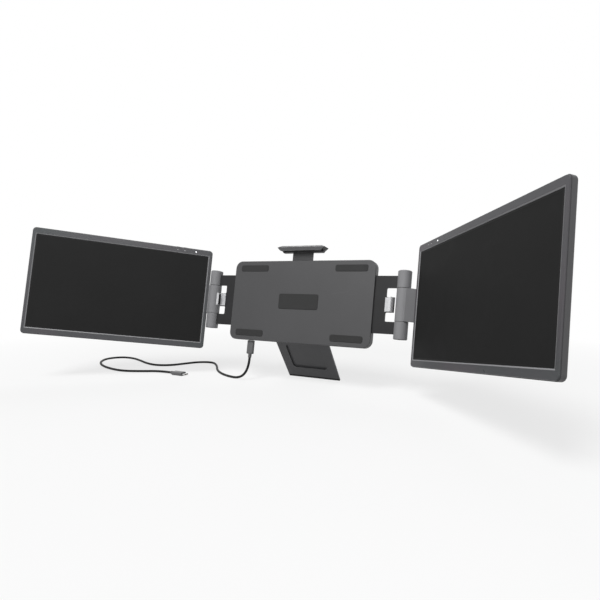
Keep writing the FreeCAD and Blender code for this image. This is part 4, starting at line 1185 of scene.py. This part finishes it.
@dataclass
class Plug:
    """A flat plug on the cable, drawn pointing up Z with the cable leaving downwards."""

    prefix: str
    placement: Matrix
    grip_half: tuple[float, float] = (6.0, 3.25)
    grip_long: float = 22.0
    grip_corner: float = 2.4
    heel: float = 1.3
    mouth: float = 0.5
    relief_long: float = 6.0
    relief_radii: tuple[float, float] = (2.7, 2.95)
    groove: float = 0.35
    ribs: int = 3
    shell_half: tuple[float, float] = (4.12, 1.2)
    shell_wall: float = 0.35
    rest_middle: float = 1.3
    rest_thick: float = 1.2
    rest_corner: float = 0.7
    pins: int = 12
    pin_pitch: float = 0.5
    pin_row: float = 0.68
    pin_middle: float = 3.6
    pin_size: Point = (0.22, 0.1, 3.4)
    pin_edge: float = 0.04

    def build(self) -> None:
        """Makes the grip, the shell and what shows inside the shell."""
        hand_over(self.grip(), "housing", "plug_grip", (f"{self.prefix}_grip",))
        soften_node(f"{self.prefix}_shell", "housing", "port_metal", 0.05)
        self.insulator()
        self.contacts()

    def grip(self) -> Workpiece:
        """Moulds the grip, with rounded sides, and its ribbed strain relief.

        Returns:
            The grip in its place.
        """
        half_wide, half_deep = self.grip_half
        size = metres(half_wide * 2, half_deep * 2, self.grip_long)
        piece = Workpiece.block(f"{self.prefix}_grip_finished", (0, 0, -size[2] / 2), size)
        piece.round_along("z", self.grip_corner, 6)
        piece.round_level(-self.grip_long, self.heel, 4)
        piece.round_level(0.0, self.mouth, 3)
        piece.combine(Workpiece.turned("relief", self.relief_stations(), 40), "UNION")
        return piece.soften(0.0).moved(self.placement)

    def relief_stations(self) -> list[tuple[float, float]]:
        """Heights and radii of the ribbed strain relief, from the cable upwards.

        Returns:
            The stations in millimetres.
        """
        low = -self.grip_long - self.relief_long
        thin, thick = self.relief_radii
        pitch = self.relief_long / (self.ribs + 0.5)
        stations = [(low, thin - 0.15), (low + 0.15, thin)]
        for rib in range(self.ribs):
            top = low + pitch * (rib + 1)
            radius = thin + (thick - thin) * (rib + 1) / self.ribs
            stations += [
                (top - 0.55, radius),
                (top - 0.4, radius - self.groove),
                (top - 0.1, radius - self.groove),
                (top, radius),
            ]
        stations.append((-self.grip_long + self.heel, thick))
        return stations

    def insulator(self) -> None:
        """The dark insulator at the back of the shell."""
        inside = [(half - self.shell_wall) * 2 for half in self.shell_half]
        rest = Workpiece.block(
            f"{self.prefix}_insulator",
            metres(0, 0, self.rest_middle),
            metres(*inside, self.rest_thick),
        )
        rest.round_along("z", self.rest_corner, 3).moved(self.placement)
        hand_over(rest, "housing", "plug_tongue")

    def contacts(self) -> None:
        """The two rows of contacts inside the shell."""
        tip = self.pin_middle + self.pin_size[2] / 2
        pins = []
        for row in (-1, 1):
            for number in range(self.pins):
                across = (number - (self.pins - 1) / 2) * self.pin_pitch
                centre = metres(across, row * self.pin_row, self.pin_middle)
                pin = Workpiece.block("pin", centre, metres(*self.pin_size))
                pins.append(pin.round_level(tip, self.pin_edge, 1))
        contacts = Workpiece.joined(f"{self.prefix}_contacts", pins).moved(self.placement)
        hand_over(contacts, "housing", "contact")


@dataclass
class Cable:
    """The thin black cable and its two plugs."""

    radius: float = 2.0
    length: float = 0.7496
    port: Point = (-86.0, 8.6, -65.6)
    far_reach: float = 28.0

    # Points of the route in metres, from the housing's plug to the far one.
    route: tuple[Point, ...] = (
        (-0.0860, -0.00847, -0.093612),
        (-0.0860, -0.011816, -0.111807),
        (-0.1030, -0.0120, -0.1296),
        (-0.1410, -0.0040, -0.1296),
        (-0.1800, 0.0220, -0.1296),
        (-0.2120, 0.0600, -0.1296),
        (-0.2430, 0.0860, -0.1296),
        (-0.2700, 0.0760, -0.1296),
        (-0.2820, 0.0500, -0.1296),
        (-0.2920, 0.0240, -0.1296),
        (-0.3180, 0.0110, -0.1296),
        (-0.3520, 0.0190, -0.1296),
        (-0.3860, 0.0350, -0.1296),
        (-0.4220, 0.0480, -0.1296),
        (-0.4510, 0.0455, -0.1296),
        (-0.4630, 0.0210, -0.1296),
        (-0.4440, -0.0090, -0.1296),
        (-0.4100, -0.0340, -0.1296),
        (-0.3680, -0.0500, -0.1296),
        (-0.3260, -0.0560, -0.1296),
        (-0.2910, -0.0420, -0.1293),
        (-0.2630, -0.0310, -0.12835),
        (-0.2360, -0.0310, -0.12835),
    )

    def plugs(self) -> tuple[Plug, Plug]:
        """The plug in the housing and the one at the far end, each in its place.

        Returns:
            The two plugs.
        """
        near = LEANING @ shift(*self.port)
        far = Matrix.Translation(Vector(self.route[-1]) + Vector((self.far_reach * MM, 0, 0)))
        lying = turn(90, "Y") @ turn(90, "Z")
        return Plug("housing_plug", near), Plug("laptop_plug", far @ lying)

    def line(self) -> bpy.types.Object:
        """Draws the cable along its route.

        Returns:
            The cable, as a curve.
        """
        curve = bpy.data.curves.new("cable", "CURVE")
        curve.dimensions = "3D"
        curve.bevel_depth = self.radius * MM
        curve.bevel_resolution = 6
        curve.resolution_u = 14
        curve.use_fill_caps = True
        spline = curve.splines.new("NURBS")
        spline.points.add(len(self.route) - 1)
        for knot, place in zip(spline.points, self.route):
            knot.co = (*place, 1.0)
        spline.order_u = 3
        spline.use_endpoint_u = True
        cable = bpy.data.objects.new("cable", curve)
        bpy.context.scene.collection.objects.link(cable)
        curve.materials.append(MATERIALS["cable"])
        return cable

    def build(self) -> None:
        """Lays the cable and makes its plugs."""
        plugs = self.plugs()
        for plug in plugs:
            plug.build()
        cable = self.line()
        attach(cable, "housing")
        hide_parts("usb_cable")
        LOG.info("cable laid over %d points", len(self.route))


@dataclass
class Housing:
    """The housing behind the middle: covers, pads, rails, hub board, port and screws."""

    vents: VentRow = VentRow(count=13, pitch=3.4, size=(30.0, 1.4), sink=0.8, along_x=False)
    vent_across: float = 84.0
    vent_up: float = -2.0
    post_across: float = 112.0
    post_up: float = 56.0
    back: float = 15.0
    screw: HexScrew = HexScrew(
        head_radius=2.4, head_thick=1.0, shank_radius=1.25, shank_long=8.0,
        socket_radius=1.15, socket_deep=0.7,
    )

    def build(self) -> None:
        """Makes and dresses the housing."""
        soften_node("housing_front_cover", "housing", "front_cover", 0.2)
        self.back_cover()
        soften_node("lid_rest_pads", "housing", "silicone", 0.22, 3)
        soften_node("hub_usb_port", "housing", "port_metal", 0.03, 1)
        dress_node("slide_rails", "rail")
        dress_node("hub_board", "board")
        dress_node("stand_pin", "steel")
        self.cover_screws()

    def back_cover(self) -> None:
        """The back cover, with a block of vents on each side of the stand's recess."""
        piece = upright_copy("housing_back_cover")
        for sign in (-1, 1):
            self.vents.cut(piece, (sign * self.vent_across, self.back, self.vent_up))
        piece.soften(0.2 * MM).moved(LEANING)
        hand_over(piece, "housing", "back_cover", ("housing_back_cover",))

    def cover_screws(self) -> None:
        """Four screws in the back cover's sunk holes."""
        seat = self.back - self.screw.head_thick
        places = [
            LEANING @ shift(across, seat, up) @ turn(-90, "X")
            for across in (-self.post_across, self.post_across)
            for up in (-self.post_up, self.post_up)
        ]
        screws = self.screw.row("housing_screws_finished", places)
        hand_over(screws, "housing", "screw", ("housing_screws",))


@dataclass
class ClipAndStand:
    """The sliding top clip and the fold-out kickstand."""

    tip_out: float = 40.0
    tip_share: float = 0.965
    tip_lift: float = 1.2

    def build(self) -> None:
        """Makes and dresses both."""
        soften_node("clip_bar", "top_clip", "clip_bar", 0.25)
        self.hook()
        soften_node("clip_pad", "top_clip", "silicone", 0.2)
        soften_node("stand_leg", "kickstand", "stand", 0.25)
        soften_node("stand_foot", "kickstand", "silicone", 0.3, 3)

    def hook(self) -> None:
        """The clip's hook, its pointed ends a little shorter and higher."""
        piece = upright_copy("clip_hook")

        def tip(point: Vector) -> bool:
            """Tells the pointed ends."""
            return abs(point.x) > self.tip_out * MM

        piece.pick_points(tip).stretch((self.tip_share, 1.0, 1.0), (0, 0, 0))
        piece.pick_points(tip).slide(metres(0, 0, self.tip_lift))
        piece.soften(0.3 * MM, 3).moved(LEANING)
        hand_over(piece, "top_clip", "clip", ("clip_hook",))


@dataclass(frozen=True)
class Lamp:
    """One soft square lamp: place, target and side in metres, power in watts."""

    name: str
    place: Point
    size: float
    power: float
    target: Point = (0.0, 0.0, 0.0)

    def hang(self) -> None:
        """Hangs the lamp so that it faces its target."""
        light = bpy.data.lights.new(self.name, "AREA")
        light.size = self.size
        light.energy = self.power
        obj = bpy.data.objects.new(self.name, light)
        obj.location = self.place
        obj.rotation_mode = "QUATERNION"
        aim = Vector(self.target) - Vector(self.place)
        obj.rotation_quaternion = aim.to_track_quat("-Z", "Y")
        bpy.context.scene.collection.objects.link(obj)


@dataclass
class Studio:
    """A pale floor, soft lamps and the camera at the photograph's place."""

    floor_level: float = -0.1316
    floor_size: float = 12.0
    paper: float = 0.60
    near_white: float = 0.74
    fade_span: tuple[float, float] = (0.40, 1.0)
    sky_strength: float = 0.17
    view_place: Point = (0.3524, -0.6023, 0.0288)
    view_turn: float = -24.32
    view_rise: float = -6.19
    view_roll: float = 0.63
    lens: float = 26.70
    shift: tuple[float, float] = (-0.0738, 0.0530)
    sensor: float = 36.0

    # A key from the front and above, a low one that glances off the left monitor, a faint
    # fill from the right, and one from behind.
    lamps: tuple[Lamp, ...] = (
        Lamp("key", (-0.12, -1.35, 1.75), size=0.9, power=50.0),
        Lamp("sheen", (0.43, -1.42, 0.85), size=0.6, power=4.0, target=(-0.28, -0.09, 0.05)),
        Lamp("fill", (1.6, -1.0, 0.7), size=1.0, power=2.0),
        Lamp("back", (-0.6, 1.5, 1.5), size=1.2, power=20.0),
    )

    def build(self) -> None:
        """Sets up the stage."""
        self.floor()
        self.sky()
        for lamp in self.lamps:
            lamp.hang()
        self.camera()
        bpy.context.scene.view_settings.view_transform = "Standard"

    @staticmethod
    def seen_directly(bench: NodeBench) -> Socket:
        """A mask that is 1 for what the camera sees, and for mirror and glass.

        Args:
            bench: The tree that takes its nodes.

        Returns:
            The mask.
        """
        path = bench.add("LightPath").outputs
        mask = bench.math("MAXIMUM", path["Is Camera Ray"], path["Is Glossy Ray"])
        return bench.math("MAXIMUM", mask, path["Is Transmission Ray"])

    def floor(self) -> None:
        """A wide white floor that keeps soft shadows near the object."""
        bpy.ops.object.select_all(action="DESELECT")
        bpy.ops.mesh.primitive_plane_add(size=self.floor_size, location=(0, 0, self.floor_level))
        plane = bpy.context.active_object
        plane.name = "floor"
        material = bpy.data.materials.new("floor")
        bench = NodeBench.emptied(material)
        paper = bench.add("BsdfDiffuse", {"Color": (*[self.paper] * 3, 1.0), "Roughness": 0.5})
        white = bench.add("Emission", {"Color": (1.0, 1.0, 1.0, 1.0), "Strength": 1.0})
        place = bench.add("TexCoord").outputs["Object"]
        away = bench.add("VectorMath", {0: place}, operation="LENGTH").outputs["Value"]
        fade = bench.span(bench.contrast(away, *self.fade_span), self.near_white, 1.0)
        share = bench.math("MULTIPLY", fade, self.seen_directly(bench))
        mix = bench.add("MixShader", {0: share, 1: paper.outputs[0], 2: white.outputs[0]})
        bench.add("OutputMaterial", {"Surface": mix.outputs[0]})
        plane.data.materials.append(material)

    def sky(self) -> None:
        """An even pale surround that shows as plain white."""
        world = bpy.data.worlds.new("studio")
        bpy.context.scene.world = world
        bench = NodeBench.emptied(world)
        glow = {"Color": (0.97, 0.98, 1.0, 1.0), "Strength": self.sky_strength}
        soft = bench.add("Background", glow)
        white = bench.add("Background", {"Color": (1.0, 1.0, 1.0, 1.0), "Strength": 1.0})
        share = self.seen_directly(bench)
        mix = bench.add("MixShader", {0: share, 1: soft.outputs[0], 2: white.outputs[0]})
        bench.add("OutputWorld", {"Surface": mix.outputs[0]})

    def camera(self) -> None:
        """The camera where the photograph was taken from."""
        turn, rise, roll = (
            math.radians(angle) for angle in (self.view_turn, self.view_rise, self.view_roll)
        )
        forward = Vector(
            (math.sin(turn) * math.cos(rise), math.cos(turn) * math.cos(rise), math.sin(rise))
        )
        level = forward.cross(Vector((0, 0, 1))).normalized()
        upright = level.cross(forward)
        right = level * math.cos(roll) + upright * math.sin(roll)
        top = upright * math.cos(roll) - level * math.sin(roll)
        data = bpy.data.cameras.new("camera")
        data.lens = self.lens
        data.sensor_width = self.sensor
        data.shift_x, data.shift_y = self.shift
        data.clip_start = 0.01
        camera = bpy.data.objects.new("camera", data)
        axes = Matrix((right, top, -forward)).transposed().to_4x4()
        camera.matrix_world = Matrix.Translation(self.view_place) @ axes
        bpy.context.scene.collection.objects.link(camera)
        bpy.context.scene.camera = camera


def main() -> None:
    """Builds the extender piece by piece and sets the stage for it."""
    logging.basicConfig(level=logging.INFO, format="%(message)s")
    prepare_finishes()
    Housing().build()
    ClipAndStand().build()
    for side in Side:
        Arm(side).build()
    Monitor(Side.LEFT, yaw=39.12, light_at=27.6, marks_at=(46.1, 57.6)).build()
    Monitor(Side.RIGHT, yaw=49.59, light_at=54.6, marks_at=(29.1, 37.3)).build()
    Cable().build()
    Studio().build()


if __name__ == "__main__":
    main()
